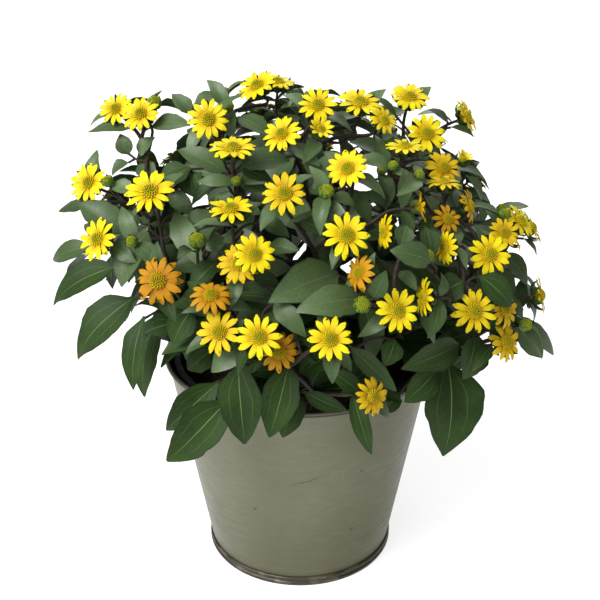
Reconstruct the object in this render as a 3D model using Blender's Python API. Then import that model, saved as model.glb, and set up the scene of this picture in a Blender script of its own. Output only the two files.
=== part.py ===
"""Creeping zinnia in a zinc planter: planter wall and base, nursery pot, potting mix, branches, heads.

Metres, +Z up. The origin is on the ground under the middle of the planter, and -Y is the front.
"""
from math import cos, pi, radians, sin

import bmesh
import bpy
from mathutils import Matrix, Vector
from mathutils.bvhtree import BVHTree

MM = 0.001
GAP = 0.3 * MM  # clearance where one piece rests on another

# Zinc planter
RIM_RADIUS = 65 * MM  # to the outside of the rolled rim
RIM_HEIGHT = 105.3 * MM  # middle of the rolled rim
ROLL_RADIUS = 1.5 * MM
FOOT_RADIUS = 46.4 * MM  # to the outside of the base seam
SEAM_HEIGHT = 4.8 * MM
SHEET = 0.7 * MM
BASE_LIFT = 3.0 * MM  # the base disc clears the ground by this much
PLANTER_SIDES = 48

# Nursery pot and its potting mix
LINER_TOP = 103.5 * MM
LINER_LIP = 60.4 * MM
LINER_TOP_RADIUS = 58.5 * MM
LINER_FOOT_RADIUS = 41.5 * MM
LINER_WALL = 0.8 * MM
LINER_LIP_DEPTH = 2.5 * MM
DRAIN_HOLES = 6
DRAIN_RADIUS = 4 * MM
DRAIN_RING = 29 * MM  # the holes' middles lie this far from the pot's axis
SOIL_TOP = 89 * MM
SOIL_EDGE_DROP = 2 * MM
LINER_SIDES = 32

# Plant
STEM_RADIUS = 1.7 * MM
NECK_RADIUS = 0.75 * MM  # of a flower stalk just under its head
CROWN_RADIUS = 26 * MM  # the potting mix is flat this far out
PETALS = 10
PETAL_NOTCH = 0.42  # the rays part this far from the head's middle, as a share of its radius
PETAL_RISE = 0.8 * MM
HEAD_THICKNESS = 3.4 * MM  # from the rays down to the stalk
DISC_SHARES = (0.32, 0.24)  # radius of the disc at its foot and at its shoulder, as shares of the head's
DISC_HEIGHTS = (0.6 * MM, 2.4 * MM, 3.0 * MM)  # foot, shoulder and top of the disc
CUP_SHARE = 0.22  # radius of the bracts' cup where it meets the stalk
LEAF_THICKNESS = 0.9 * MM
REACH = (115 * MM, 109 * MM)  # no leaf passes this far from the middle along X and along Y

# Every branch leaves the soil at its foot, bends, and forks. Points are x, y, z in millimetres,
# and the foot's height is the soil's. A head is its place, the azimuth that it faces (0 is the
# front, 90 the right), how far up it faces in degrees, and its diameter.
BRANCHES = {
    "left": {
        "foot": (-15, -3, 0), "bend": (-30, -8, 132), "fork": (-62, -18, 167),
        "heads": [(-71, 8, 217, -15, 42, 19), (-91, -18, 193, -25, 32, 19), (-81, -56, 181, -35, 30, 19)],
    },
    "left_front": {
        "foot": (-11, -12, 0), "bend": (-30, -35, 124), "fork": (-48, -55, 150),
        "heads": [(-59, -57, 201, -10, 50, 21), (-54, -83, 174, -10, 28, 20)],
    },
    "top_left": {
        "foot": (-7, -5, 0), "bend": (-16, -14, 132), "fork": (-24, -24, 177),
        "heads": [(-37, -36, 225, 0, 30, 18), (-26, -56, 218, 5, 75, 19), (-18, -10, 233, -40, 55, 19)],
    },
    "top": {
        "foot": (1, -3, 0), "bend": (2, -8, 132), "fork": (5, -22, 182),
        "heads": [(-10, 12, 230, 10, 80, 18), (-7, -53, 223, -30, 45, 17), (7, -38, 231, 0, 45, 17),
                  (24, -34, 231, 10, 66, 19)],
    },
    "front_left": {
        "foot": (-5, -15, 0), "bend": (-18, -42, 120), "fork": (-24, -66, 142),
        "heads": [(-26, -76, 200, -5, 72, 18), (-17, -89, 187, 12, 34, 17), (-33, -93, 172, 0, 58, 17),
                  (-30, -99, 160, -14, 34, 18)],
    },
    "front_low": {
        "foot": (3, -19, 0), "bend": (5, -45, 110), "fork": (6, -72, 120),
        "heads": [(-15, -103, 160, 0, 30, 18), (11, -103, 159, 4, 34, 18), (27, -104, 136, 38, 20, 16)],
    },
    "front": {
        "foot": (3, -11, 0), "bend": (10, -28, 130), "fork": (12, -48, 157),
        "heads": [(-6, -75, 206, 0, 38, 18), (17, -85, 193, 5, 32, 19), (18, -66, 213, -22, 40, 17),
                  (36, -95, 167, 8, 26, 18)],
    },
    "top_right": {
        "foot": (8, -4, 0), "bend": (20, -8, 134), "fork": (40, -14, 177),
        "heads": [(46, -14, 229, 10, 60, 18), (51, -36, 219, 10, 34, 18), (74, 8, 216, 65, 30, 17),
                  (57, -47, 208, 20, 40, 16)],
    },
    "right_front": {
        "foot": (10, -13, 0), "bend": (32, -32, 120), "fork": (54, -50, 142),
        "heads": [(91, -40, 183, 60, 45, 17), (74, -68, 179, 12, 30, 18), (67, -82, 161, 12, 24, 19)],
    },
    "right": {
        "foot": (15, -7, 0), "bend": (42, -16, 118), "fork": (70, -30, 132),
        "heads": [(82, -74, 144, 35, 28, 17), (100, -50, 154, 80, 15, 17), (99, 8, 160, 85, 35, 18)],
    },
    "back_left": {
        "foot": (-12, 7, 0), "bend": (-34, 22, 122), "fork": (-60, 42, 144),
        "heads": [(-92, 40, 170, 235, 35, 18), (-66, 72, 168, 215, 30, 18), (-59, 30, 191, 225, 50, 18)],
    },
    "back": {
        "foot": (-1, 12, 0), "bend": (-4, 40, 124), "fork": (-6, 64, 150),
        "heads": [(-26, 96, 162, 190, 25, 19), (10, 90, 180, 175, 40, 18), (-20, 58, 208, 195, 60, 18),
                  (26, 50, 208, 150, 60, 17)],
    },
    "back_right": {
        "foot": (11, 8, 0), "bend": (34, 26, 122), "fork": (56, 46, 147),
        "heads": [(48, 88, 160, 155, 25, 19), (82, 58, 166, 125, 30, 18), (62, 28, 202, 120, 55, 18)],
    },
}

# Leafy side shoots: the branch, the place of the end of the shoot, and the tip and width of each
# leaf that grows from there, in millimetres. A shoot starts at the nearest point of its branch.
SHOOTS = [
    ("left", (-81, -27, 159), [((-114, -24, 139), 18), ((-84, -50, 148), 14)]),
    ("left", (-92, -12, 168), [((-114, -8, 156), 11), ((-92, 14, 164), 12)]),
    ("left", (-84, 16, 152), [((-114, 22, 128), 20), ((-86, 42, 136), 16)]),
    ("left_front", (-70, -40, 150), [((-98, -48, 123), 23)]),
    ("left_front", (-60, -50, 148), [((-68, -68, 120), 16), ((-73, -55, 109), 15)]),
    ("left_front", (-46, -54, 152), [((-54, -62, 133), 12)]),
    ("front_left", (-28, -60, 114), [((-59, -68, 83), 20), ((-54, -56, 99), 16)]),
    ("front_left", (-25, -72, 136), [((-23, -87, 101), 18), ((-38, -88, 140), 11)]),
    ("front_low", (-3, -76, 136), [((-11, -88, 105), 16), ((10, -90, 120), 12)]),
    ("front_low", (16, -76, 140), [((39, -88, 128), 12), ((28, -90, 100), 10)]),
    ("front", (34, -72, 152), [((52, -90, 142), 14), ((22, -92, 144), 12)]),
    ("right_front", (60, -60, 126), [((62, -75, 88), 25), ((45, -72, 113), 12)]),
    ("right_front", (74, -60, 144), [((67, -76, 126), 13), ((90, -68, 130), 14)]),
    ("right", (90, -38, 144), [((114, -36, 119), 14), ((106, -52, 126), 14)]),
    ("right", (92, 10, 142), [((114, 22, 116), 20), ((110, -8, 130), 16)]),
    ("right", (72, -6, 126), [((94, 2, 98), 20), ((84, -24, 106), 14)]),
    ("back_right", (74, 54, 140), [((96, 74, 112), 22), ((98, 46, 124), 17)]),
    ("back_right", (44, 64, 126), [((58, 88, 92), 22), ((74, 66, 104), 18)]),
    ("back", (24, 82, 138), [((34, 107, 108), 21), ((50, 94, 120), 15)]),
    ("back", (-12, 80, 136), [((-8, 107, 104), 21), ((-32, 102, 114), 17)]),
    ("back", (2, 62, 114), [((6, 82, 80), 22), ((-20, 78, 92), 17)]),
    ("back_left", (-52, 68, 138), [((-62, 96, 108), 22), ((-78, 76, 116), 17)]),
    ("back_left", (-76, 46, 140), [((-100, 58, 112), 22), ((-98, 34, 126), 17)]),
    ("back_left", (-52, 34, 118), [((-76, 44, 86), 20), ((-56, 60, 94), 16)]),
]

# Opposite leaf pairs: how far along a branch or a flower stalk they sit, from 0 to 1, and the
# length of the leaves there.
BRANCH_PAIRS = [(0.55, 42 * MM), (0.9, 40 * MM)]
STALK_PAIRS = [(0.62, 28 * MM)]

ZINC = ((0.26, 0.26, 0.20), 0.42, 0.85)  # colour, roughness, metallic
LINER_BLACK = ((0.012, 0.012, 0.013), 0.55, 0.0)
SOIL_BROWN = ((0.035, 0.022, 0.014), 0.95, 0.0)
LEAF_GREEN = ((0.035, 0.085, 0.035), 0.5, 0.0)
PETAL_YELLOW = ((0.9, 0.66, 0.02), 0.55, 0.0)


def clear_scene():
    for obj in list(bpy.data.objects):
        bpy.data.objects.remove(obj)


def material(name, look):
    """A Principled material from (colour, roughness, metallic)."""
    colour, roughness, metallic = look
    made = bpy.data.materials.new(name)
    made.use_nodes = True
    shader = made.node_tree.nodes["Principled BSDF"]
    shader.inputs["Base Color"].default_value = (*colour, 1.0)
    shader.inputs["Roughness"].default_value = roughness
    shader.inputs["Metallic"].default_value = metallic
    return made


def add_object(name, bm, look):
    """A named object from a bmesh, shaded smooth except across sharp edges."""
    mesh = bpy.data.meshes.new(name)
    bm.to_mesh(mesh)
    bm.free()
    mesh.shade_smooth()
    mesh.set_sharp_from_angle(angle=radians(35))
    mesh.materials.append(look)
    obj = bpy.data.objects.new(name, mesh)
    bpy.context.collection.objects.link(obj)
    return obj


def turned(profile, sides):
    """A solid turned about Z from (radius, height) points. It is a ring unless it ends on the axis."""
    bm = bmesh.new()
    points = [bm.verts.new((r, 0.0, z)) for r, z in profile]
    pairs = list(zip(points, points[1:]))
    if profile[0][0] > 0:
        pairs.append((points[-1], points[0]))
    edges = [bm.edges.new(pair) for pair in pairs]
    bmesh.ops.spin(bm, geom=points + edges, cent=(0, 0, 0), axis=(0, 0, 1),
                   angle=2 * pi, steps=sides, use_merge=True)
    bmesh.ops.remove_doubles(bm, verts=bm.verts[:], dist=0.01 * MM)
    bmesh.ops.recalc_face_normals(bm, faces=bm.faces[:])
    return bm


def arc(centre, radius, start, end, count):
    """Points of an arc in a profile, angles in degrees from the outward direction."""
    turns = [radians(start + (end - start) * i / (count - 1)) for i in range(count)]
    return [(centre[0] + radius * cos(t), centre[1] + radius * sin(t)) for t in turns]


# ---- planter ----

SEAM_WALL_RADIUS = FOOT_RADIUS - SHEET - GAP  # outside of the wall where the base grips it
WALL_TOP_RADIUS = RIM_RADIUS - 2 * ROLL_RADIUS + 0.2 * MM


def planter_wall(look):
    """Tapered zinc sheet whose top edge is rolled outwards into a bead."""
    foot = SEAM_WALL_RADIUS
    bead = (RIM_RADIUS - ROLL_RADIUS, RIM_HEIGHT)
    profile = [(foot, SHEET + GAP), (foot, SEAM_HEIGHT + GAP), (WALL_TOP_RADIUS, RIM_HEIGHT - ROLL_RADIUS)]
    profile += arc(bead, ROLL_RADIUS, -80, 170, 6)
    inner_top = (WALL_TOP_RADIUS - SHEET, RIM_HEIGHT - ROLL_RADIUS)
    profile += [inner_top, (foot - SHEET, SEAM_HEIGHT + GAP), (foot - SHEET, SHEET + GAP)]
    return add_object("planter_wall", turned(profile, PLANTER_SIDES), look)


def planter_base(look):
    """Pressed base pan: a raised disc whose edge folds under the wall and grips it outside."""
    inner_grip = SEAM_WALL_RADIUS - SHEET - GAP
    inside = inner_grip - SHEET
    disc_top = BASE_LIFT + SHEET
    bulge = 0.5 * MM
    profile = [
        (0, BASE_LIFT), (inside, BASE_LIFT), (inside, 0), (FOOT_RADIUS - bulge, 0),
        (FOOT_RADIUS, bulge), (FOOT_RADIUS, SEAM_HEIGHT - bulge), (FOOT_RADIUS - bulge, SEAM_HEIGHT),
        (FOOT_RADIUS - SHEET, SEAM_HEIGHT), (FOOT_RADIUS - SHEET, SHEET), (inner_grip, SHEET),
        (inner_grip, disc_top), (0, disc_top),
    ]
    return add_object("planter_base", turned(profile, PLANTER_SIDES), look)


# ---- nursery pot and potting mix ----

LINER_FLOOR = BASE_LIFT + SHEET + GAP
LINER_FLOOR_TOP = LINER_FLOOR + LINER_WALL


def liner_radius(height):
    """Outside radius of the nursery pot's wall at a height."""
    share = (height - LINER_FLOOR) / (LINER_TOP - LINER_FLOOR)
    return LINER_FOOT_RADIUS + share * (LINER_TOP_RADIUS - LINER_FOOT_RADIUS)


def nursery_pot(look):
    """Thin tapered pot with a lip round its top and drain holes in its floor."""
    lip_under = LINER_TOP - LINER_LIP_DEPTH
    profile = [
        (0, LINER_FLOOR), (LINER_FOOT_RADIUS, LINER_FLOOR), (liner_radius(lip_under), lip_under),
        (LINER_LIP, lip_under), (LINER_LIP, LINER_TOP), (LINER_TOP_RADIUS - LINER_WALL, LINER_TOP),
        (LINER_FOOT_RADIUS - LINER_WALL, LINER_FLOOR_TOP), (0, LINER_FLOOR_TOP),
    ]
    pot = add_object("nursery_pot", turned(profile, LINER_SIDES), look)
    for i in range(DRAIN_HOLES):
        turn = 2 * pi * i / DRAIN_HOLES
        place = Vector((DRAIN_RING * cos(turn), DRAIN_RING * sin(turn), LINER_FLOOR))
        cut_hole(pot, place, DRAIN_RADIUS)
    return pot


def cut_hole(obj, place, radius):
    """A round hole along Z, cut by a Boolean with a hidden cylinder."""
    through = 6 * MM
    bm = bmesh.new()
    bmesh.ops.create_cone(bm, cap_ends=True, segments=8, radius1=radius, radius2=radius, depth=through,
                          matrix=Matrix.Translation(place))
    cutter = add_object("hole_cutter", bm, obj.data.materials[0])
    cutter.hide_render = True
    cutter.display_type = "WIRE"
    cut = obj.modifiers.new("drain_hole", "BOOLEAN")
    cut.operation = "DIFFERENCE"
    cut.object = cutter


def potting_mix(look):
    """Root ball that fills the nursery pot, flat under the crown and lower at its edge."""
    foot = LINER_FLOOR_TOP + GAP
    edge = SOIL_TOP - SOIL_EDGE_DROP
    clear = LINER_WALL + GAP
    profile = [
        (0, foot), (liner_radius(foot) - clear, foot), (liner_radius(edge) - clear, edge),
        (CROWN_RADIUS, SOIL_TOP), (0, SOIL_TOP),
    ]
    return add_object("potting_mix", turned(profile, LINER_SIDES), look)


# ---- plant ----

def smooth_path(points, steps):
    """Catmull-Rom curve through the points, as steps + 1 points for each span."""
    padded = [points[0] * 2 - points[1], *points, points[-1] * 2 - points[-2]]
    path = []
    for a, b, c, d in zip(padded, padded[1:], padded[2:], padded[3:]):
        for i in range(steps):
            t = i / steps
            path.append(0.5 * (2 * b + (c - a) * t + (2 * a - 5 * b + 4 * c - d) * t * t
                               + (3 * b - a - 3 * c + d) * t ** 3))
    return path + [points[-1]]


def facing(azimuth, up):
    """Unit vector that faces an azimuth (0 is the front, 90 the right) and up, in degrees."""
    a, e = radians(azimuth), radians(up)
    return Vector((sin(a) * cos(e), -cos(a) * cos(e), sin(e)))


def branch_paths(name):
    """Paths of one branch: its own, one for each flower stalk up to its head, and one for each shoot."""
    branch = BRANCHES[name]
    foot, bend, fork = (Vector(branch[key]) * MM for key in ("foot", "bend", "fork"))
    foot.z = SOIL_TOP + GAP
    main = [foot] + smooth_path([foot + Vector((0, 0, 5 * MM)), bend, fork], 3)
    rise = (main[-1] - main[-2]).normalized()
    stalks = []
    for x, y, z, azimuth, up, diameter in branch["heads"]:
        axis = facing(azimuth, up)
        neck = Vector((x, y, z)) * MM - axis * (HEAD_THICKNESS + GAP)
        reach = (neck - fork).length
        middle = fork.lerp(neck, 0.5) + rise * reach * 0.08
        steps = 2 if reach > 40 * MM else 1
        stalks.append(smooth_path([fork - rise * 2 * MM, middle, neck - axis * reach * 0.22, neck], steps))
    shoots = []
    for owner, end, leaves in SHOOTS:
        if owner == name:
            end = Vector(end) * MM
            start = min(main[3:], key=lambda p: (p - end).length)
            shoots.append(smooth_path([start, start.lerp(end, 0.5) + Vector((0, 0, 3 * MM)), end], 1))
    return main, stalks, shoots


def stem_mesh(main, stalks, shoots):
    """Tapered tubes along the paths, as one mesh of separate closed tubes that overlap where they meet."""
    curve = bpy.data.curves.new("stem", "CURVE")
    curve.dimensions = "3D"
    curve.bevel_depth = 1.0
    curve.bevel_resolution = 0
    curve.use_fill_caps = True
    tubes = [(main, STEM_RADIUS, 1.2 * MM)] + [(path, 1.1 * MM, NECK_RADIUS) for path in stalks + shoots]
    for path, thick, thin in tubes:
        spline = curve.splines.new("POLY")
        spline.points.add(len(path) - 1)
        for i, (point, place) in enumerate(zip(spline.points, path)):
            point.co = (*place, 1.0)
            point.radius = thick + (thin - thick) * i / (len(path) - 1)
    holder = bpy.data.objects.new("stem", curve)
    mesh = bpy.data.meshes.new_from_object(holder)
    bpy.data.objects.remove(holder)
    bm = bmesh.new()
    bm.from_mesh(mesh)
    bmesh.ops.remove_doubles(bm, verts=bm.verts[:], dist=0.001 * MM)
    bmesh.ops.recalc_face_normals(bm, faces=bm.faces[:])
    return bm


# Outlines of leaves, as (share of the length, share of the width) from base to tip.
SMALL_OUTLINE = [(0.38, 1.0), (0.78, 0.58)]
LARGE_OUTLINE = [(0.16, 0.56), (0.42, 1.0), (0.78, 0.6)]


def leaf_shape(base, tip, lift, width, outline):
    """Vertices and faces of one closed leaf: its rim is thin, and its midrib is the thick keel."""
    span = tip - base
    along = span.normalized()
    across = along.cross(Vector((0, 0, 1))).normalized()
    over = across.cross(along)
    half = LEAF_THICKNESS / 2

    def midrib(t):
        return base + span * t + over * lift * 4 * t * (1 - t)

    verts = [midrib(0) + over * half, midrib(0) - over * half, midrib(1)]
    rows = []
    for t, w in outline:
        keel = midrib(t)
        rim = over * width * 0.12 * w
        rows.append(len(verts))
        verts += [keel + over * half, keel - over * half,
                  keel + across * width * w / 2 + rim, keel - across * width * w / 2 + rim]
    first, last = rows[0], rows[-1]
    faces = [(0, first + 2, first), (0, first, first + 3), (0, 1, first + 2),
             (1, first + 1, first + 2), (1, first + 3, first + 1), (1, 0, first + 3),
             (last, last + 2, 2), (last, 2, last + 3), (last + 1, 2, last + 2), (last + 1, last + 3, 2)]
    for a, b in zip(rows, rows[1:]):
        faces += [(a, a + 2, b + 2, b), (a, b, b + 3, a + 3)]
        faces += [(a + 1, b + 1, b + 2, a + 2), (a + 1, a + 3, b + 3, b + 1)]
    return verts, faces


def is_clear(shape, obstacles):
    """Whether a leaf stays within REACH and crosses none of the trees."""
    if any(abs(v.x) > REACH[0] or abs(v.y) > REACH[1] for v in shape[0]):
        return False
    tree = BVHTree.FromPolygons(*shape)
    return not any(tree.overlap(other) for other in obstacles)


def first_clear(candidates, obstacles):
    """The first leaf shape that touches no obstacle, or None."""
    for shape in candidates:
        if is_clear(shape, obstacles):
            return shape
    return None


def leaf_choices(base, out, length, width, droop):
    """One leaf in the place it would like, then turned aside, tilted and shortened little by little."""
    for share in (1.0, 0.85, 0.7, 0.55):
        for tilt in (0, 15, -15, 30):
            for turn in (0, 20, -20, 40, -40):
                heading = Matrix.Rotation(radians(turn), 3, "Z") @ out
                rise = sin(radians(tilt)) + 0.12 - droop
                reach = (heading + Vector((0, 0, rise))).normalized() * length * share
                yield leaf_shape(base, base + reach, length * share * 0.1, width * share, SMALL_OUTLINE)


def pairs_on(path, pairs, start_turn):
    """(base, outward direction, length) of each leaf of the opposite pairs along a path."""
    found = []
    for i, (share, length) in enumerate(pairs):
        place = share * (len(path) - 1)
        at = min(int(place), len(path) - 2)
        base = path[at].lerp(path[at + 1], place - at)
        along = (path[at + 1] - path[at]).normalized()
        turn = radians(start_turn + 90 * i)
        side = along.orthogonal().normalized()
        side.rotate(Matrix.Rotation(turn, 3, along))
        found += [(base, (side + along * 0.35).normalized(), length),
                  (base, (along * 0.35 - side).normalized(), length)]
    return found


def head_shape(place, axis, diameter):
    """A flower head: ray petals with rounded ends, a domed disc over them and a cup of bracts under them."""
    bm = bmesh.new()
    radius = diameter / 2
    pitch = 2 * pi / PETALS

    def ring(r, z, turns):
        return [bm.verts.new((r * cos(t), r * sin(t), z)) for t in turns]

    outline = []
    for i in range(PETALS):
        outline += ring(radius * PETAL_NOTCH, 0, [i * pitch])
        outline += ring(radius, PETAL_RISE, [(i + 0.3) * pitch, (i + 0.7) * pitch])
    rough = [i * pitch * 2 for i in range(PETALS // 2)]
    disc = ring(radius * DISC_SHARES[0], DISC_HEIGHTS[0], rough)
    dome = ring(radius * DISC_SHARES[1], DISC_HEIGHTS[1], rough)
    top = bm.verts.new((0, 0, DISC_HEIGHTS[2]))
    cup = ring(radius * CUP_SHARE, -HEAD_THICKNESS, rough)

    for k in range(len(rough)):
        nxt = (k + 1) % len(rough)
        rim = [outline[(6 * k + j) % len(outline)] for j in range(7)]
        for inner, flip in ((disc, False), (cup, True)):
            fan = [(inner[k], rim[j], rim[j + 1]) for j in range(3)]
            fan += [(inner[k], rim[3], inner[nxt])]
            fan += [(inner[nxt], rim[j], rim[j + 1]) for j in range(3, 6)]
            for face in fan:
                bm.faces.new(face[::-1] if flip else face)
        bm.faces.new((disc[k], disc[nxt], dome[nxt], dome[k]))
        bm.faces.new((dome[k], dome[nxt], top))
    bm.faces.new(cup[::-1])
    bmesh.ops.recalc_face_normals(bm, faces=bm.faces[:])
    turn = axis.to_track_quat("Z", "Y").to_matrix().to_4x4()
    bmesh.ops.transform(bm, matrix=Matrix.Translation(place) @ turn, verts=bm.verts[:])
    return bm


def grow_leaves(plans, fixed):
    """Leaves of every branch, as {branch: [shapes]}, none of which touches another branch or a head."""
    stems = {name: BVHTree.FromBMesh(stem_mesh(*plan)) for name, plan in plans.items()}
    leaves = {name: [] for name in plans}
    trees = {name: [] for name in plans}

    def obstacles(name):
        others = [stems[o] for o in plans if o != name]
        return fixed + others + [t for o in plans if o != name for t in trees[o]]

    def keep(name, shape):
        if shape:
            leaves[name].append(shape)
            trees[name].append(BVHTree.FromPolygons(*shape))

    for name, end, tips in SHOOTS:
        for tip, width in tips:
            base, tip = Vector(end) * MM, Vector(tip) * MM
            lifts = [(tip - base).length * share for share in (0.16, 0.24, 0.08, 0.32, 0.0)]
            shapes = (leaf_shape(base, tip, lift, width * MM, LARGE_OUTLINE) for lift in lifts)
            keep(name, first_clear(shapes, obstacles(name)))
    for order, (name, (main, stalks, _)) in enumerate(plans.items()):
        spots = pairs_on(main, BRANCH_PAIRS, 40 * order)
        for i, stalk in enumerate(stalks):
            spots += pairs_on(stalk, STALK_PAIRS, 40 * order + 50 * i)
        for base, out, length in spots:
            if base.z < RIM_HEIGHT:
                continue
            shapes = leaf_choices(base, out, length, length * 0.42, 0.1)
            keep(name, first_clear(shapes, obstacles(name)))
    return leaves


def build_branch(name, plan, shapes, look):
    """One branch as one body: its stems, joined to its leaves by a Boolean union."""
    bm = bmesh.new()
    for verts, faces in shapes:
        placed = [bm.verts.new(v) for v in verts]
        for face in faces:
            bm.faces.new([placed[i] for i in face])
    bmesh.ops.recalc_face_normals(bm, faces=bm.faces[:])
    blades = add_object(f"{name}_leaf_blades", bm, look)
    blades.hide_render = True
    blades.display_type = "WIRE"
    branch = add_object(name, stem_mesh(*plan), look)
    union = branch.modifiers.new("join_leaves", "BOOLEAN")
    union.operation = "UNION"
    union.use_self = True
    union.object = blades


def build_plant(solid_trees, leaf_look, petal_look):
    """Heads first, then the branches with the leaves that find room between them."""
    plans = {name: branch_paths(name) for name in BRANCHES}
    head_trees = []
    for name, branch in BRANCHES.items():
        for i, (x, y, z, azimuth, up, diameter) in enumerate(branch["heads"], 1):
            bm = head_shape(Vector((x, y, z)) * MM, facing(azimuth, up), diameter * MM)
            head_trees.append(BVHTree.FromBMesh(bm))
            add_object(f"flower_{name}_{i}", bm, petal_look)
    leaves = grow_leaves(plans, solid_trees + head_trees)
    for name, plan in plans.items():
        build_branch(f"branch_{name}", plan, leaves[name], leaf_look)


def main():
    clear_scene()
    zinc = material("zinc", ZINC)
    pot_parts = [planter_wall(zinc), planter_base(zinc)]
    pot_parts.append(nursery_pot(material("nursery_black", LINER_BLACK)))
    pot_parts.append(potting_mix(material("potting_mix", SOIL_BROWN)))
    trees = []
    for part in pot_parts:
        bm = bmesh.new()
        bm.from_mesh(part.data)
        trees.append(BVHTree.FromBMesh(bm))
        bm.free()
    build_plant(trees, material("leaf", LEAF_GREEN), material("petal", PETAL_YELLOW))


main()
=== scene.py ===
"""Creeping zinnia in a zinc planter: the finished look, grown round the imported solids.

Run main() from Blender's text editor, or use the buttons in the sidebar of the 3D view.
"""
import random
from itertools import product
from math import cos, pi, radians, sin, sqrt

import bmesh
import bpy
from bpy.props import FloatProperty, FloatVectorProperty, IntProperty
from mathutils import Matrix, Vector
from mathutils.bvhtree import BVHTree


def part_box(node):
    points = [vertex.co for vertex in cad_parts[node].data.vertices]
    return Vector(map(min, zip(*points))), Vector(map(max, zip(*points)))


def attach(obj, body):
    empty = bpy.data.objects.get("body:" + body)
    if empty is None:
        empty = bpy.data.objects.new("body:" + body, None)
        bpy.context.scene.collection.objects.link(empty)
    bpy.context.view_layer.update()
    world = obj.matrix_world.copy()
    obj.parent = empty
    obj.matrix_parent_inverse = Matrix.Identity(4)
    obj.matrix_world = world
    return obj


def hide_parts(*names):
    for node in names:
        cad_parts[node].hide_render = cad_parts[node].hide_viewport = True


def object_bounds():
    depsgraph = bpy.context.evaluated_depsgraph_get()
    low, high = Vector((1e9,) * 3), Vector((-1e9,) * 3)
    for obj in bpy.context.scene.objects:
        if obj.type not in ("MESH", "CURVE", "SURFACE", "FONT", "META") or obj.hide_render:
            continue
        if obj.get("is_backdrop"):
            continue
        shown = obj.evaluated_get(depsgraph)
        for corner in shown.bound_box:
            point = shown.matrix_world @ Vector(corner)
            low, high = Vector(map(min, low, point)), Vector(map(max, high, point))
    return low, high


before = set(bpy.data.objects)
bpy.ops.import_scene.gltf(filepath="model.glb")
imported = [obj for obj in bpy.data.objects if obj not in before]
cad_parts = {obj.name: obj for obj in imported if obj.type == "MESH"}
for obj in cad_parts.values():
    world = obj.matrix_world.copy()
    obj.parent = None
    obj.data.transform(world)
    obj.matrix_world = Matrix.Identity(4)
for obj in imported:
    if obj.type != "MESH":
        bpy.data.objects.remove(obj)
CAD_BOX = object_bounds()

bl_info = {
    "name": "Creeping Zinnia in a Zinc Planter",
    "version": (1, 0, 0),
    "blender": (4, 5, 0),
    "location": "3D View > Sidebar > Zinnia",
    "description": "Grows a creeping zinnia in a zinc planter",
    "category": "Object",
}

MM = 0.001
PLANTER = "root"  # the one body that everything rides on

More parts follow.
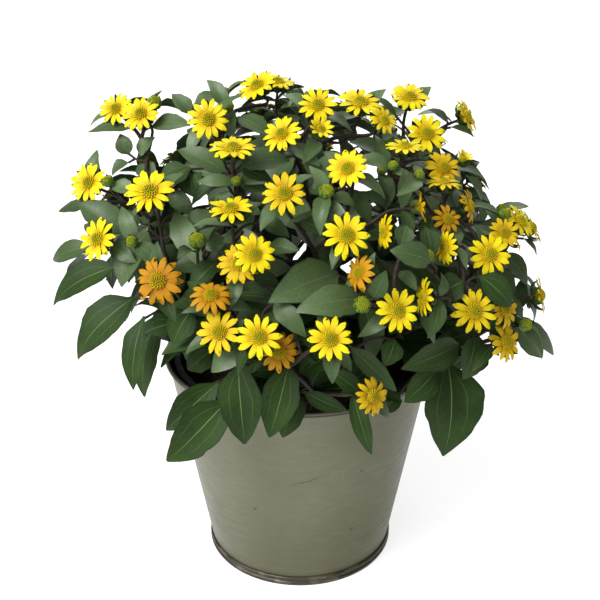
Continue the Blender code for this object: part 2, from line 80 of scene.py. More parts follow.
# ---- where the plant grows ----
# Every branch leaves the soil at its foot, bends, and forks. Points are x, y, z in millimetres,
# and the foot's height is the soil's. A head is its place, the azimuth that it faces (0 is the
# front, 90 the right), how far up it faces in degrees, and its diameter.
SOIL_TOP = 89 * MM
BRANCHES = {
    "left": {
        "foot": (-15, -3, 0), "bend": (-30, -8, 132), "fork": (-62, -18, 167),
        "heads": [(-71, 8, 217, -15, 42, 19), (-91, -18, 193, -25, 32, 19), (-81, -56, 181, -35, 30, 19)],
    },
    "left_front": {
        "foot": (-11, -12, 0), "bend": (-30, -35, 124), "fork": (-48, -55, 150),
        "heads": [(-59, -57, 201, -10, 50, 21), (-54, -83, 174, -10, 28, 20)],
    },
    "top_left": {
        "foot": (-7, -5, 0), "bend": (-16, -14, 132), "fork": (-24, -24, 177),
        "heads": [(-37, -36, 225, 0, 30, 18), (-26, -56, 218, 5, 75, 19), (-18, -10, 233, -40, 55, 19)],
    },
    "top": {
        "foot": (1, -3, 0), "bend": (2, -8, 132), "fork": (5, -22, 182),
        "heads": [(-10, 12, 230, 10, 80, 18), (-7, -53, 223, -30, 45, 17), (7, -38, 231, 0, 45, 17),
                  (24, -34, 231, 10, 66, 19)],
    },
    "front_left": {
        "foot": (-5, -15, 0), "bend": (-18, -42, 120), "fork": (-24, -66, 142),
        "heads": [(-26, -76, 200, -5, 72, 18), (-17, -89, 187, 12, 34, 17), (-33, -93, 172, 0, 58, 17),
                  (-30, -99, 160, -14, 34, 18)],
    },
    "front_low": {
        "foot": (3, -19, 0), "bend": (5, -45, 110), "fork": (6, -72, 120),
        "heads": [(-15, -103, 160, 0, 30, 18), (11, -103, 159, 4, 34, 18), (27, -104, 136, 38, 20, 16)],
    },
    "front": {
        "foot": (3, -11, 0), "bend": (10, -28, 130), "fork": (12, -48, 157),
        "heads": [(-6, -75, 206, 0, 38, 18), (17, -85, 193, 5, 32, 19), (18, -66, 213, -22, 40, 17),
                  (36, -95, 167, 8, 26, 18)],
    },
    "top_right": {
        "foot": (8, -4, 0), "bend": (20, -8, 134), "fork": (40, -14, 177),
        "heads": [(46, -14, 229, 10, 60, 18), (51, -36, 219, 10, 34, 18), (74, 8, 216, 65, 30, 17),
                  (57, -47, 208, 20, 40, 16)],
    },
    "right_front": {
        "foot": (10, -13, 0), "bend": (32, -32, 120), "fork": (54, -50, 142),
        "heads": [(91, -40, 183, 60, 45, 17), (74, -68, 179, 12, 30, 18), (67, -82, 161, 12, 24, 19)],
    },
    "right": {
        "foot": (15, -7, 0), "bend": (42, -16, 118), "fork": (70, -30, 132),
        "heads": [(82, -74, 144, 35, 28, 17), (100, -50, 154, 80, 15, 17), (99, 8, 160, 85, 35, 18)],
    },
    "back_left": {
        "foot": (-12, 7, 0), "bend": (-34, 22, 122), "fork": (-60, 42, 144),
        "heads": [(-92, 40, 170, 235, 35, 18), (-66, 72, 168, 215, 30, 18), (-59, 30, 191, 225, 50, 18)],
    },
    "back": {
        "foot": (-1, 12, 0), "bend": (-4, 40, 124), "fork": (-6, 64, 150),
        "heads": [(-26, 96, 162, 190, 25, 19), (10, 90, 180, 175, 40, 18), (-20, 58, 208, 195, 60, 18),
                  (26, 50, 208, 150, 60, 17)],
    },
    "back_right": {
        "foot": (11, 8, 0), "bend": (34, 26, 122), "fork": (56, 46, 147),
        "heads": [(48, 88, 160, 155, 25, 19), (82, 58, 166, 125, 30, 18), (62, 28, 202, 120, 55, 18)],
    },
}

# Heads that the solids leave out: smaller, half hidden or half open. "open" is 1 for flat rays
# and goes to 0 as they close up; "age" is 0 for a fresh yellow head and 1 for an orange one.
MORE_HEADS = [
    ("left", (-83, 14, 218, -20, 40, 17), {}),
    ("front_left", (-23, -86, 182, -8, 40, 17), {"age": 0.45}),
    ("front_low", (-8, -93, 149, 0, 20, 17), {"age": 0.9}),
    ("top", (8, -50, 224, 20, 50, 12), {"open": 0.7}),
    ("top", (33, -42, 226, 30, 40, 13), {"age": 0.2}),
    ("top_right", (41, -50, 217, 12, 84, 16), {}),
    ("top_right", (56, -58, 205, 20, 88, 15), {"age": 0.3}),
    ("top_right", (66, -38, 209, 60, 60, 10), {"open": 0.3}),
    ("front", (45, -70, 199, 90, 8, 14), {"age": 0.5, "open": 0.7}),
    ("right_front", (67, -56, 195, 70, 20, 15), {"age": 0.6}),
    ("front", (32, -81, 193, -70, 12, 14), {"age": 0.25}),
    ("front", (22, -90, 180, -52, 26, 15), {"age": 0.9}),
    ("right_front", (56, -74, 184, -60, 12, 14), {"age": 0.2}),
    ("right_front", (57, -66, 193, 20, 30, 13), {"age": 0.8}),
    ("right_front", (82, -54, 183, 10, 40, 14), {"age": 0.4}),
    ("right_front", (47, -89, 170, -75, 10, 16), {"age": 0.15}),
    ("right_front", (81, -72, 157, 40, 24, 16), {"age": 0.5}),
    ("back_left", (-88, 58, 152, 238, 10, 16), {"age": 0.4}),
    ("back_left", (-38, 62, 198, 210, 45, 17), {}),
    ("back", (-4, 74, 198, 185, 45, 18), {"age": 0.1}),
    ("back", (-44, 86, 148, 205, 18, 17), {"age": 0.7}),
    ("back", (26, 94, 150, 168, 16, 17), {}),
    ("back_right", (66, 76, 148, 140, 18, 17), {"age": 0.5}),
    ("back_right", (44, 62, 194, 148, 50, 18), {}),
    ("back_right", (84, 30, 182, 110, 35, 17), {"age": 0.15}),
    ("right", (102, -16, 172, 80, 35, 17), {}),
    ("left", (-94, 36, 156, 250, 30, 18), {"age": 0.2}),
    ("top", (6, 30, 218, 170, 70, 17), {}),
    ("top_left", (-40, 26, 212, -150, 60, 17), {}),
    ("top_right", (40, 28, 213, 150, 60, 17), {}),
]
# Ages of heads in the branches' own lists, by branch and place in its list.
AGES = {("left_front", 1): 1.0, ("front_left", 2): 0.9, ("front_left", 3): 0.3, ("front_low", 2): 0.55,
        ("front", 0): 0.3, ("right", 0): 0.5, ("top_right", 3): 0.45, ("right_front", 2): 0.2,
        ("back_left", 1): 0.4, ("back", 0): 0.3, ("back_right", 0): 0.8}

# Closed buds: branch, place, azimuth, up and diameter.
BUDS = [
    ("top_left", (-39, -78, 189, 0, 60, 8)), ("top_left", (-30, -20, 227, 0, 50, 6)),
    ("top_left", (-25, -54, 205, 0, 50, 5)), ("top_right", (33, -48, 208, 0, 50, 5)),
    ("top_right", (88, -20, 182, 30, 40, 6)), ("right", (93, -44, 145, 20, 40, 6)),
    ("top_left", (-34, 4, 228, -20, 70, 7)),
    ("left", (-80, -34, 199, -30, 60, 6)), ("left", (-65, 12, 222, 30, 60, 8)),
    ("front", (23, -96, 170, 0, 30, 8)),
    ("front", (10, -74, 207, 0, 50, 7)), ("right_front", (48, -82, 184, 15, 50, 7)),
    ("top_right", (36, -60, 213, 10, 60, 5)), ("top_right", (46, -62, 210, 20, 60, 5)),
    ("right_front", (84, -44, 188, 40, 50, 6)), ("right", (92, -66, 148, 40, 30, 7)),
    ("back", (0, 84, 172, 180, 30, 7)), ("back_left", (-78, 56, 178, 225, 40, 7)),
    ("back_right", (70, 52, 182, 135, 50, 7)), ("left_front", (-66, -66, 184, -20, 40, 6)),
    ("top", (4, -4, 228, 40, 80, 6)),
]

# Leafy side shoots: the branch, the end of the shoot, and the tip and width of each leaf there.
SHOOTS = [
    ("left", (-84, 16, 152), [((-114, 22, 128), 20), ((-86, 42, 136), 16)]),
    ("right", (92, 10, 142), [((114, 22, 116), 20), ((110, -8, 130), 16)]),
    ("back_right", (74, 54, 140), [((96, 74, 112), 22), ((98, 46, 124), 17)]),
    ("back_right", (44, 64, 126), [((58, 88, 92), 22), ((74, 66, 104), 18)]),
    ("back", (24, 82, 138), [((34, 107, 108), 21), ((50, 94, 120), 15)]),
    ("back", (-12, 80, 136), [((-8, 107, 104), 21), ((-32, 102, 114), 17)]),
    ("back", (2, 62, 114), [((6, 82, 80), 22), ((-20, 78, 92), 17)]),
    ("back_left", (-52, 68, 138), [((-62, 96, 108), 22), ((-78, 76, 116), 17)]),
    ("back_left", (-76, 46, 140), [((-100, 58, 112), 22), ((-98, 34, 126), 17)]),
    ("back_left", (-52, 34, 118), [((-76, 44, 86), 20), ((-56, 60, 94), 16)]),
]

# Leaves of the front half, which show one by one: where each one starts and ends, its width, and
# its tone from 0 for a dark leaf to 1 for a pale grey one; dark tones paint shade and pale ones paint light
# and sheen, over the leaf's own colour.
FRONT_LEAVES = [
    ((-67, 9, 211), (-49, 6, 213), 10, 0.7), ((-76, 10, 210), (-95, 6, 210), 8, 0.6),
    ((-77, 6, 199), (-81, 8, 208), 7, 0.7), ((-72, 6, 198), (-66, 8, 207), 8, 0.8),
    ((-77, 4, 196), (-85, 2, 191), 7, 0.6), ((-73, 4, 195), (-64, 0, 191), 8, 0.6),
    ((-45, -24, 224), (-53, -20, 232), 6, 0.6), ((-45, -14, 226), (-32, -12, 228), 8, 0.6),
    ((-30, -14, 225), (-29, -12, 240), 5, 0.5), ((-26, -24, 223), (-11, -34, 217), 8, 0.6),
    ((-29, -48, 206), (-49, -42, 214), 8, 0.6), ((-24, -48, 209), (-4, -46, 211), 10, 0.6),
    ((-32, -46, 202), (-44, -46, 192), 6, 0.25), ((-45, -34, 204), (-59, -36, 195), 12, 0.3),
    ((-45, -32, 202), (-44, -40, 194), 10, 0.35), ((-24, -50, 208), (-11, -50, 204), 6, 0.2),
    ((-25, -48, 202), (-13, -50, 200), 6, 0.4), ((-55, -36, 195), (-44, -40, 186), 7, 0.7),
    ((-45, -55, 185), (-35, -50, 191), 8, 0.5), ((-62, -46, 184), (-50, -44, 181), 3, 0.2),
    ((-64, -46, 184), (-75, -40, 188), 4, 0.2), ((-51, -50, 190), (-38, -70, 173), 9, 0.8),
    ((-62, -46, 181), (-73, -62, 164), 14, 0.65), ((-72, -34, 176), (-95, -22, 186), 11, 0.55),
    ((-89, -22, 186), (-105, -20, 181), 6, 0.4), ((-93, -14, 162), (-114, -6, 153), 9, 0.55),
    ((-80, -24, 157), (-112, -22, 138), 14, 0.15), ((-71, -38, 148), (-98, -46, 123), 17, 0.1),
    ((-64, -58, 148), (-70, -70, 120), 10, 0.05), ((-60, -50, 146), (-67, -58, 110), 13, 0.1),
    ((-51, -60, 146), (-64, -66, 144), 9, 0.25), ((-43, -68, 156), (-51, -74, 143), 11, 0.1),
    ((-33, -70, 124), (-56, -72, 102), 12, 0.15), ((-29, -74, 118), (-55, -82, 93), 16, 0.12),
    ((15, -70, 172), (-11, -92, 170), 15, 0.7), ((24, -84, 167), (-1, -98, 169), 12, 0.6),
    ((-10, -86, 167), (2, -96, 157), 7, 0.6), ((-21, -94, 154), (-33, -102, 145), 9, 0.7),
    ((-24, -84, 140), (-22, -94, 108), 15, 0.12), ((-4, -86, 141), (-12, -96, 113), 13, 0.1),
    ((-1, -80, 125), (-7, -88, 108), 10, 0.15), ((-14, -80, 171), (-24, -88, 172), 4, 0.6),
    ((-8, -76, 170), (-20, -82, 176), 5, 0.3),
    ((-37, -68, 181), (-28, -66, 185), 6, 0.7), ((-34, -84, 164), (-45, -88, 163), 3, 0.6),
    ((-37, -52, 130), (-48, -52, 120), 10, 0.05), ((19, -84, 147), (38, -90, 130), 7, 0.4),
    ((12, -84, 150), (20, -90, 139), 5, 0.5), ((20, -90, 130), (28, -98, 106), 6.5, 0.3),
    ((1, -84, 127), (19, -84, 118), 6, 0.2), ((41, -72, 120), (32, -78, 114), 7, 0.15),
    ((61, -62, 130), (61, -80, 94), 24, 0.12), ((65, -66, 139), (40, -84, 137), 11, 0.3),
    ((71, -66, 143), (66, -76, 128), 12, 0.4), ((55, -72, 130), (42, -82, 121), 11, 0.2),
    ((46, -82, 161), (52, -86, 149), 4, 0.6), ((37, -82, 149), (33, -88, 140), 8, 0.15),
    ((90, -46, 143), (112, -40, 121), 7, 0.65), ((89, -52, 141), (103, -54, 127), 10, 0.6),
    ((90, -50, 140), (78, -56, 140), 3, 0.1), ((74, -46, 165), (87, -56, 149), 16, 0.45),
    ((69, -52, 161), (50, -72, 161), 14, 0.4), ((86, -34, 167), (98, -36, 153), 9, 0.5),
    ((99, -16, 167), (106, -16, 159), 3, 0.5), ((56, -48, 184), (70, -52, 178), 5, 0.7),
    ((50, -70, 178), (62, -72, 176), 4, 0.5),
    ((38, -78, 176), (44, -88, 172), 5, 0.5), ((49, -72, 182), (49, -62, 194), 6, 0.4),
    ((45, -50, 193), (40, -48, 204), 6, 0.5), ((34, -52, 192), (43, -54, 192), 5, 0.3),
    ((38, -50, 192), (24, -52, 200), 5, 0.5), ((14, -56, 188), (-4, -62, 192), 6, 0.7),
    ((19, -58, 203), (28, -66, 191), 6, 0.6), ((12, -70, 204), (21, -72, 200), 5, 0.5),
    ((9, -68, 204), (3, -66, 206), 5, 0.5),
    ((10, -58, 204), (1, -50, 213), 6, 0.55),
    ((38, -26, 206), (21, -24, 213), 8, 0.65), ((11, -30, 218), (4, -26, 222), 5, 0.6),
    ((18, -32, 215), (11, -30, 220), 5, 0.4), ((40, -22, 223), (30, -20, 231), 4, 0.4),
    ((64, -8, 217), (55, -8, 223), 5, 0.3), ((66, 0, 213), (77, 2, 209), 4, 0.2),
    ((-9, -6, 213), (0, -4, 219), 7, 0.5), ((1, 0, 223), (-6, 2, 228), 8, 0.4),
    ((-16, -8, 213), (-24, -6, 218), 6, 0.4), ((1, 4, 220), (8, 4, 225), 5, 0.5),
    ((-34, -52, 198), (-24, -56, 194), 6, 0.6), ((-27, -56, 195), (-15, -60, 193), 6, 0.5),
    ((-15, -66, 192), (-4, -72, 188), 6, 0.5), ((-12, -72, 184), (0, -80, 185), 6, 0.35),
    ((38, -62, 186), (23, -70, 186), 5, 0.5), ((29, -76, 179), (20, -84, 175), 8, 0.45),
    ((-32, -74, 178), (-42, -80, 169), 8, 0.3), ((0, -66, 192), (11, -72, 187), 7, 0.4),
    ((58, -36, 195), (68, -36, 186), 7, 0.5), ((32, -42, 208), (42, -46, 204), 7, 0.5),
    ((47, -22, 209), (36, -20, 212), 7, 0.5), ((50, -20, 204), (60, -16, 207), 6, 0.5),
    ((71, -20, 197), (79, -18, 183), 6, 0.6), ((80, -20, 182), (90, -22, 172), 6, 0.6),
    ((-22, -66, 188), (-30, -72, 184), 5, 0.5),
    ((48, -91, 185), (33, -95, 191), 9, 0.45), ((63, -78, 172), (53, -82, 167), 10, 0.2),
    ((69, -75, 173), (83, -75, 160), 10, 0.25), ((48, -72, 192), (50, -80, 181), 7, 0.4),
    ((54, -50, 185), (70, -56, 178), 6.5, 0.6), ((36, -56, 195), (23, -62, 202), 6, 0.6),
    ((43, -38, 201), (46, -50, 192), 6, 0.6), ((39, -85, 197), (37, -89, 190), 7, 0.4),
    ((64, -52, 171), (60, -62, 161), 8, 0.2), ((27, -95, 172), (31, -98, 184), 6, 0.5),
    ((0, -86, 155), (12, -90, 147), 7, 0.15), ((75, -40, 126), (64, -42, 114), 9, 0.15),
    ((12, -78, 141), (0, -82, 136), 8, 0.1),
]

# Opposite leaf pairs: how far along a branch or a stalk they sit, and the length of the leaves.
BRANCH_PAIRS = [(0.4, 39 * MM), (0.52, 41 * MM), (0.63, 41 * MM), (0.74, 40 * MM), (0.85, 38 * MM),
                (0.95, 36 * MM)]
STALK_PAIRS = [(0.06, 34 * MM), (0.22, 33 * MM), (0.38, 31 * MM), (0.54, 28 * MM), (0.72, 23 * MM)]
COLLAR_PAIR = (0.88, 16 * MM)  # close under each head
SHOOT_PAIRS = [(0.4, 26 * MM), (0.75, 22 * MM)]

# Marks on the front of the planter's wall. The scratch has its middle, half length, slope, wander
# and width, and each speck its x, z and radius in millimetres.
SCRATCH = {"x": 1.9 * MM, "z": 66.2 * MM, "reach": 7.5 * MM, "slope": 0.3, "wander": 4 * MM,
           "width": 0.5 * MM}
SPECKS = [(-20.7, 46.3, 1.1), (24.2, 31.5, 1.2), (28, 67.5, 0.9)]

HEAD_DEPTH = 3.7 * MM  # from the stalk's end to the level of the rays
STALK_DROP = 15 * MM  # a stalk leaves its stem at least this far below its head
STEM_RADIUS = 1.3 * MM
NECK_RADIUS = 0.55 * MM
SMALL_HEAD = 14 * MM  # a head below this diameter has two rays fewer
GOLDEN_ANGLE = 2.39996  # from one floret of the spiral to the next, in radians

# ---- the stage ----
SIGHT = Vector((0, -0.434, 0.318))  # where the camera stands
CAMERA_DIP = 23.4  # degrees below the level
LAMPS = [("key", (-0.6, -0.5, 0.8), 0.5, 7.0), ("back", (0.2, 0.6, 0.8), 0.6, 3.0),
         ("front", (-0.2, -0.9, 0.4), 0.4, 1.5)]  # name, place, size and power
SKY_POWER = 2.75
WORLD_LIGHT = 0.42
TABLE_GLOW = 0.72

# ---- where leaves may grow ----
CROWN = (Vector((0, 0, 129 * MM)), Vector((116 * MM, 110 * MM, 98 * MM)))  # middle and half sizes
FRONT_LIMIT = 0.84  # share of the crown that chance leaves fill in the front half
REACH = (CAD_BOX[1][0] + 2 * MM, CAD_BOX[1][1] + 2 * MM)
LOWEST_LEAF = 100 * MM  # no chance leaf starts below this
LOW_LEAF = 118 * MM  # below this, chance leaves stay within LOW_REACH of the middle
LOW_REACH = 40 * MM
FACE_ROOM = 30 * MM  # no chance leaf comes this close before a flower's face
REAR_HEADS = 30 * MM  # heads farther back than this may be covered
RIM_RADIUS, RIM_TOP, WALL_MIDDLE = 65 * MM, 102.5 * MM, 60 * MM  # the planter, for leaves to miss
# Straight openings through the crown, seen from the camera: a point of each and its radius, in millimetres.
OPENINGS = [(33, 0, 189, 7), (-3, 0, 156, 6), (-48, 0, 182, 6), (23, 0, 148, 4), (48, 0, 165, 5),
            (73, 0, 152, 6), (14, 0, 205, 4), (-83, 0, 200, 8), (-49, 0, 89, 8), (-45, 0, 82, 7),
            (-41, 0, 97, 5), (-115, 0, 196, 9), (-60, 0, 206, 7)]
FULLER = 1.15  # leaves are wider than their tables say by this factor
COARSE_LEAF = [(0.14, 0.45), (0.4, 1.0), (0.7, 0.68), (1.0, 0.04)]  # shares of length and width
# painted light: leaves get paler and greyer from this height up, and low leaves stay dark as painted shade
LOW_TONE, TONE_RISE = 120 * MM, 90 * MM  # leaves get paler from this height on, over this rise
# Each front leaf's tries: how far its tip moves back in millimetres, and its arch.
FRONT_TRIES = ((0, 0.1), (0, 0.2), (-3, 0.1), (3, 0.1), (-3, 0.2), (0, 0), (-6, 0.1), (5, 0.2), (-9, 0.1))
# Each chance leaf's tries: the share of its length, the tilt and the turn in degrees.
CHANCE_TRIES = tuple(product((1.0, 0.8, 0.62, 0.48), (-12, 5, -30, 22, 40), (0, 22, -22, 45, -45)))


# ---- small helpers ----

def empty_mesh(name, points, faces=()):
    mesh = bpy.data.meshes.new(name)
    mesh.from_pydata([tuple(p) for p in points], [], faces)
    mesh.update()
    return mesh


def link(obj):
    bpy.context.scene.collection.objects.link(obj)
    return obj


def finish_piece(obj, slot, *nodes):
    """The piece rides with the planter and stands for CAD nodes, which it hides. The slot is not used."""
    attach(obj, PLANTER)
    if nodes:
        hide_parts(*nodes)


def solid(name, bm, material, degrees=40):
    """The piece of a finished bmesh, smooth but for the edges sharper than the angle."""
    bmesh.ops.recalc_face_normals(bm, faces=bm.faces[:])
    mesh = bpy.data.meshes.new(name)
    bm.to_mesh(mesh)
    bm.free()
    mesh.shade_smooth()
    mesh.set_sharp_from_angle(angle=radians(degrees))
    mesh.materials.append(material)
    return link(bpy.data.objects.new(name, mesh))


def turned(name, profile, sides, material):
    """A solid turned about Z from (radius, height) points. It is a ring unless it ends on the axis."""
    bm = bmesh.new()
    points = [bm.verts.new((r, 0.0, z)) for r, z in profile]
    pairs = list(zip(points, points[1:]))
    if profile[0][0] > 0:
        pairs.append((points[-1], points[0]))
    edges = [bm.edges.new(pair) for pair in pairs]
    bmesh.ops.spin(bm, geom=points + edges, cent=(0, 0, 0), axis=(0, 0, 1),
                   angle=2 * pi, steps=sides, use_merge=True)
    bmesh.ops.remove_doubles(bm, verts=bm.verts[:], dist=0.01 * MM)
    return solid(name, bm, material)


def arc(centre, radius, start, end, count):
    """Points of an arc from start to end, in degrees from the way out to the way up."""
    turns = [radians(start + (end - start) * i / (count - 1)) for i in range(count)]
    return [(centre[0] + radius * cos(t), centre[1] + radius * sin(t)) for t in turns]


def ring(radius, height, count):
    """Points spaced evenly round the Z axis."""
    turns = [2 * pi * k / count for k in range(count)]
    return [(radius * cos(t), radius * sin(t), height) for t in turns]


def store(mesh, name, values):
    """Stores a number or a vector for each point, under a name that node trees read."""
    vectors = hasattr(values[0], "__len__")
    attribute = mesh.attributes.new(name, "FLOAT_VECTOR" if vectors else "FLOAT", "POINT")
    if vectors:
        attribute.data.foreach_set("vector", [number for vector in values for number in vector])
    else:
        attribute.data.foreach_set("value", values)


# ---- building node trees ----

def feed(tree, socket, value):
    """Links the socket from another one, or sets it to a plain value."""
    if isinstance(value, bpy.types.NodeSocket):
        tree.links.new(value, socket)
    else:
        socket.default_value = value


def add(tree, kind, inputs=None, **options):
    """A node with its options, and each input set to a value or linked from a socket."""
    node = tree.nodes.new(kind)
    for key, value in options.items():
        setattr(node, key, value)
    for key, value in (inputs or {}).items():
        feed(tree, node.inputs[key], value)
    return node


def out(node, name=0):
    if isinstance(name, int):
        return [s for s in node.outputs if s.enabled][name]
    return next(s for s in node.outputs if s.enabled and s.name == name)


def calc(tree, operation, *values, clamp=False):
    return out(add(tree, "ShaderNodeMath", dict(enumerate(values)), operation=operation, use_clamp=clamp))


def times(tree, first, *more):
    """The product of the values, from left to right."""
    for value in more:
        first = calc(tree, "MULTIPLY", first, value)
    return first


def plus(tree, first, *more):
    """The sum of the values, from left to right."""
    for value in more:
        first = calc(tree, "ADD", first, value)
    return first


def less(tree, first, second):
    return calc(tree, "SUBTRACT", first, second)


def flipped(tree, mask):
    """The mask turned round: 1 where it was 0."""
    return less(tree, 1.0, mask)


def vcalc(tree, operation, *values):
    """A vector operation. SCALE takes a vector and a number."""
    inputs = dict(enumerate(values))
    if operation == "SCALE":
        inputs = {0: values[0], 3: values[1]}
    return out(add(tree, "ShaderNodeVectorMath", inputs, operation=operation))


def split(tree, vector):
    """The three numbers of a vector."""
    parts = add(tree, "ShaderNodeSeparateXYZ", {0: vector})
    return [out(parts, axis) for axis in "XYZ"]


def joined(tree, x, y, z):
    """A vector of three numbers."""
    return out(add(tree, "ShaderNodeCombineXYZ", {0: x, 1: y, 2: z}))


def noise(tree, vector, scale=1.0, detail=2.0):
    """Soft noise from 0 to 1."""
    return out(add(tree, "ShaderNodeTexNoise", {"Vector": vector, "Scale": scale, "Detail": detail}))


def remap(tree, value, low, high, to_low=0.0, to_high=1.0, shape="SMOOTHSTEP"):
    """The value's range from low to high drawn out to another range, and held at its ends."""
    limits = {"Value": value, "From Min": low, "From Max": high, "To Min": to_low, "To Max": to_high}
    return out(add(tree, "ShaderNodeMapRange", limits, interpolation_type=shape))


def curve_of(tree, value, points):
    """A float curve through the points, read at a value."""
    node = add(tree, "ShaderNodeFloatCurve", {"Value": value})
    curve = node.mapping.curves[0]
    curve.points[0].location = points[0]
    curve.points[1].location = points[-1]
    for point in points[1:-1]:
        curve.points.new(*point)
    node.mapping.update()
    return out(node)


def geometry_tree(name, inputs):
    """A new Geometry Nodes tree with named inputs, given as {name: (socket type, default)}."""
    tree = bpy.data.node_groups.new(name, "GeometryNodeTree")
    tree.interface.new_socket("Geometry", in_out="INPUT", socket_type="NodeSocketGeometry")
    tree.interface.new_socket("Geometry", in_out="OUTPUT", socket_type="NodeSocketGeometry")
    for label, (kind, default) in inputs.items():
        socket = tree.interface.new_socket(label, in_out="INPUT", socket_type=kind)
        if default is not None:
            socket.default_value = default
    source = tree.nodes.new("NodeGroupInput")
    return tree, source


def close_tree(tree, geometry, material):
    """Ends a tree in Realize Instances and Set Material."""
    real = add(tree, "GeometryNodeRealizeInstances", {"Geometry": geometry})
    coloured = add(tree, "GeometryNodeSetMaterial", {"Geometry": out(real), "Material": material})
    end = tree.nodes.new("NodeGroupOutput")
    tree.links.new(out(coloured), end.inputs[0])


def grown(name, data, tree, values, drop=()):
    """Evaluates a tree on a mesh or curve and keeps the result as a plain mesh object."""
    host = link(bpy.data.objects.new(name + "_seed", data))
    modifier = host.modifiers.new("grow", "NODES")
    modifier.node_group = tree
    for item in tree.interface.items_tree:
        if item.in_out == "INPUT" and item.name in values:
            modifier[item.identifier] = values[item.name]
    graph = bpy.context.evaluated_depsgraph_get()
    mesh = bpy.data.meshes.new_from_object(host.evaluated_get(graph), depsgraph=graph)
    mesh.name = name
    host.modifiers.clear()
    bpy.data.objects.remove(host)
    for attribute in drop:
        if attribute in mesh.attributes:
            mesh.attributes.remove(mesh.attributes[attribute])
    return link(bpy.data.objects.new(name, mesh))


# ---- blades: leaves, rays and bracts ----

BLADE_VECTORS = ("root", "along", "over")
BLADE_BENDS = ("wide", "arch", "fold", "curl", "twist")
BLADE_NUMBERS = BLADE_BENDS + ("tone", "age", "seed")


def on_rim(a, b):
    """Whether the edge between two sheet points runs along the blade's rim."""
    long_side = a[0] == b[0] and abs(a[0]) == 1
    short_side = a[1] == b[1] and a[1] in (0.0, 1.0)
    return long_side or short_side


def blank_blade(name, rows, columns):
    """A flat closed blade one long and two wide. Its "sheet" attribute is (across, along, face)."""
    sheet, faces, index = [], [], {}
    for face in (1, -1):
        for r in range(rows + 1):
            for c in range(columns + 1):
                rim = r in (0, rows) or c in (0, columns)
                if face == -1 and rim:
                    index[face, r, c] = index[1, r, c]
                    continue
                index[face, r, c] = len(sheet)
                sheet.append((2 * c / columns - 1, r / rows, 0.0 if rim else float(face)))
    for face in (1, -1):
        for r in range(rows):
            for c in range(columns):
                corners = ((r, c), (r, c + 1), (r + 1, c + 1), (r + 1, c))
                quad = [index[(face, *corner)] for corner in corners]
                faces.append(quad if face == 1 else quad[::-1])
    mesh = empty_mesh(name, [(t, s, BLANK_BULGE * face) for t, s, face in sheet], faces)
    store(mesh, "sheet", sheet)
    mesh.shade_smooth()
    sharp = mesh.attributes.new("sharp_edge", "BOOLEAN", "EDGE")
    sharp.data.foreach_set("value", [on_rim(*(sheet[i] for i in edge.vertices)) for edge in mesh.edges])
    return bpy.data.objects.new(name, mesh)


def named(tree, name, kind="FLOAT"):
    return out(add(tree, "GeometryNodeInputNamedAttribute", {"Name": name}, data_type=kind))


def blade_tree(name, outline, rounding=0.0, notch=0.0):
    """Puts a blade on each point and bends it: width from an outline curve, arch, fold, curl, twist."""
    tree, source = geometry_tree(name, {
        "Blank": ("NodeSocketObject", None), "Thickness": ("NodeSocketFloat", 0.4 * MM),
        "Ripple": ("NodeSocketFloat", 0.1), "Waviness": ("NodeSocketFloat", 0.0),
        "Seed": ("NodeSocketInt", 0), "Material": ("NodeSocketMaterial", None)})
    size = source.outputs
    blank = add(tree, "GeometryNodeObjectInfo", {"Object": size["Blank"]})
    placed = add(tree, "GeometryNodeInstanceOnPoints", {
        "Points": size["Geometry"], "Instance": out(blank, "Geometry")})
    real = add(tree, "GeometryNodeRealizeInstances", {"Geometry": out(placed)})
    root, along, over = (named(tree, key, "FLOAT_VECTOR") for key in BLADE_VECTORS)
    wide, arch, fold, curl, twist = (named(tree, key) for key in BLADE_BENDS)
    seed = named(tree, "seed")
    t, s, face = split(tree, named(tree, "sheet", "FLOAT_VECTOR"))
    side = calc(tree, "ABSOLUTE", t)
    length = vcalc(tree, "LENGTH", along)
    # half the width, with a wavy edge
    edge_side = times(tree, calc(tree, "SIGN", t), 3.0)
    edge_line = joined(tree, times(tree, s, 5.0), edge_side, times(tree, seed, 91.0))
    wave = times(tree, less(tree, noise(tree, edge_line, detail=1.0), 0.5), size["Waviness"])
    half = times(tree, wide, 0.5, curve_of(tree, s, outline), plus(tree, wave, 1.0))
    # rays end in a blunt round tip with a shallow notch
    cubed = calc(tree, "POWER", s, 3.0)
    shorter = times(tree, calc(tree, "POWER", side, 2.5), rounding)
    middle = times(tree, calc(tree, "POWER", flipped(tree, side), 2.0), notch)
    reach = less(tree, s, times(tree, cubed, plus(tree, shorter, middle)))
    # height above the straight line from root to tip
    arched = times(tree, arch, length, times(tree, s, flipped(tree, s), 4.0))
    folded = times(tree, fold, half, calc(tree, "POWER", side, 1.5))
    curled = times(tree, curl, length, cubed)
    waves = joined(tree, times(tree, s, 2.6), times(tree, t, 0.9),
                   plus(tree, times(tree, seed, 37.0), size["Seed"]))
    uneven = less(tree, noise(tree, waves, detail=1.0), 0.5)
    rippled = times(tree, uneven, size["Ripple"], wide, plus(tree, times(tree, side, 0.7), 0.3))
    belly = flipped(tree, calc(tree, "POWER", side, 2.0))
    skin = times(tree, face, belly, times(tree, size["Thickness"], 0.5))
    height = less(tree, plus(tree, plus(tree, arched, folded), plus(tree, rippled, skin)), curled)
    # across and over turn round the blade's line by the twist
    across = vcalc(tree, "NORMALIZE", vcalc(tree, "CROSS_PRODUCT", along, over))
    place = vcalc(tree, "ADD", root, vcalc(tree, "SCALE", along, reach))
    for vector, share in ((across, times(tree, t, half)), (over, height)):
        twisted = add(tree, "ShaderNodeVectorRotate", {
            "Vector": vector, "Axis": along, "Angle": times(tree, twist, s)}, rotation_type="AXIS_ANGLE")
        place = vcalc(tree, "ADD", place, vcalc(tree, "SCALE", out(twisted), share))
    moved = add(tree, "GeometryNodeSetPosition", {"Geometry": out(real), "Position": place})
    close_tree(tree, out(moved), size["Material"])
    return tree


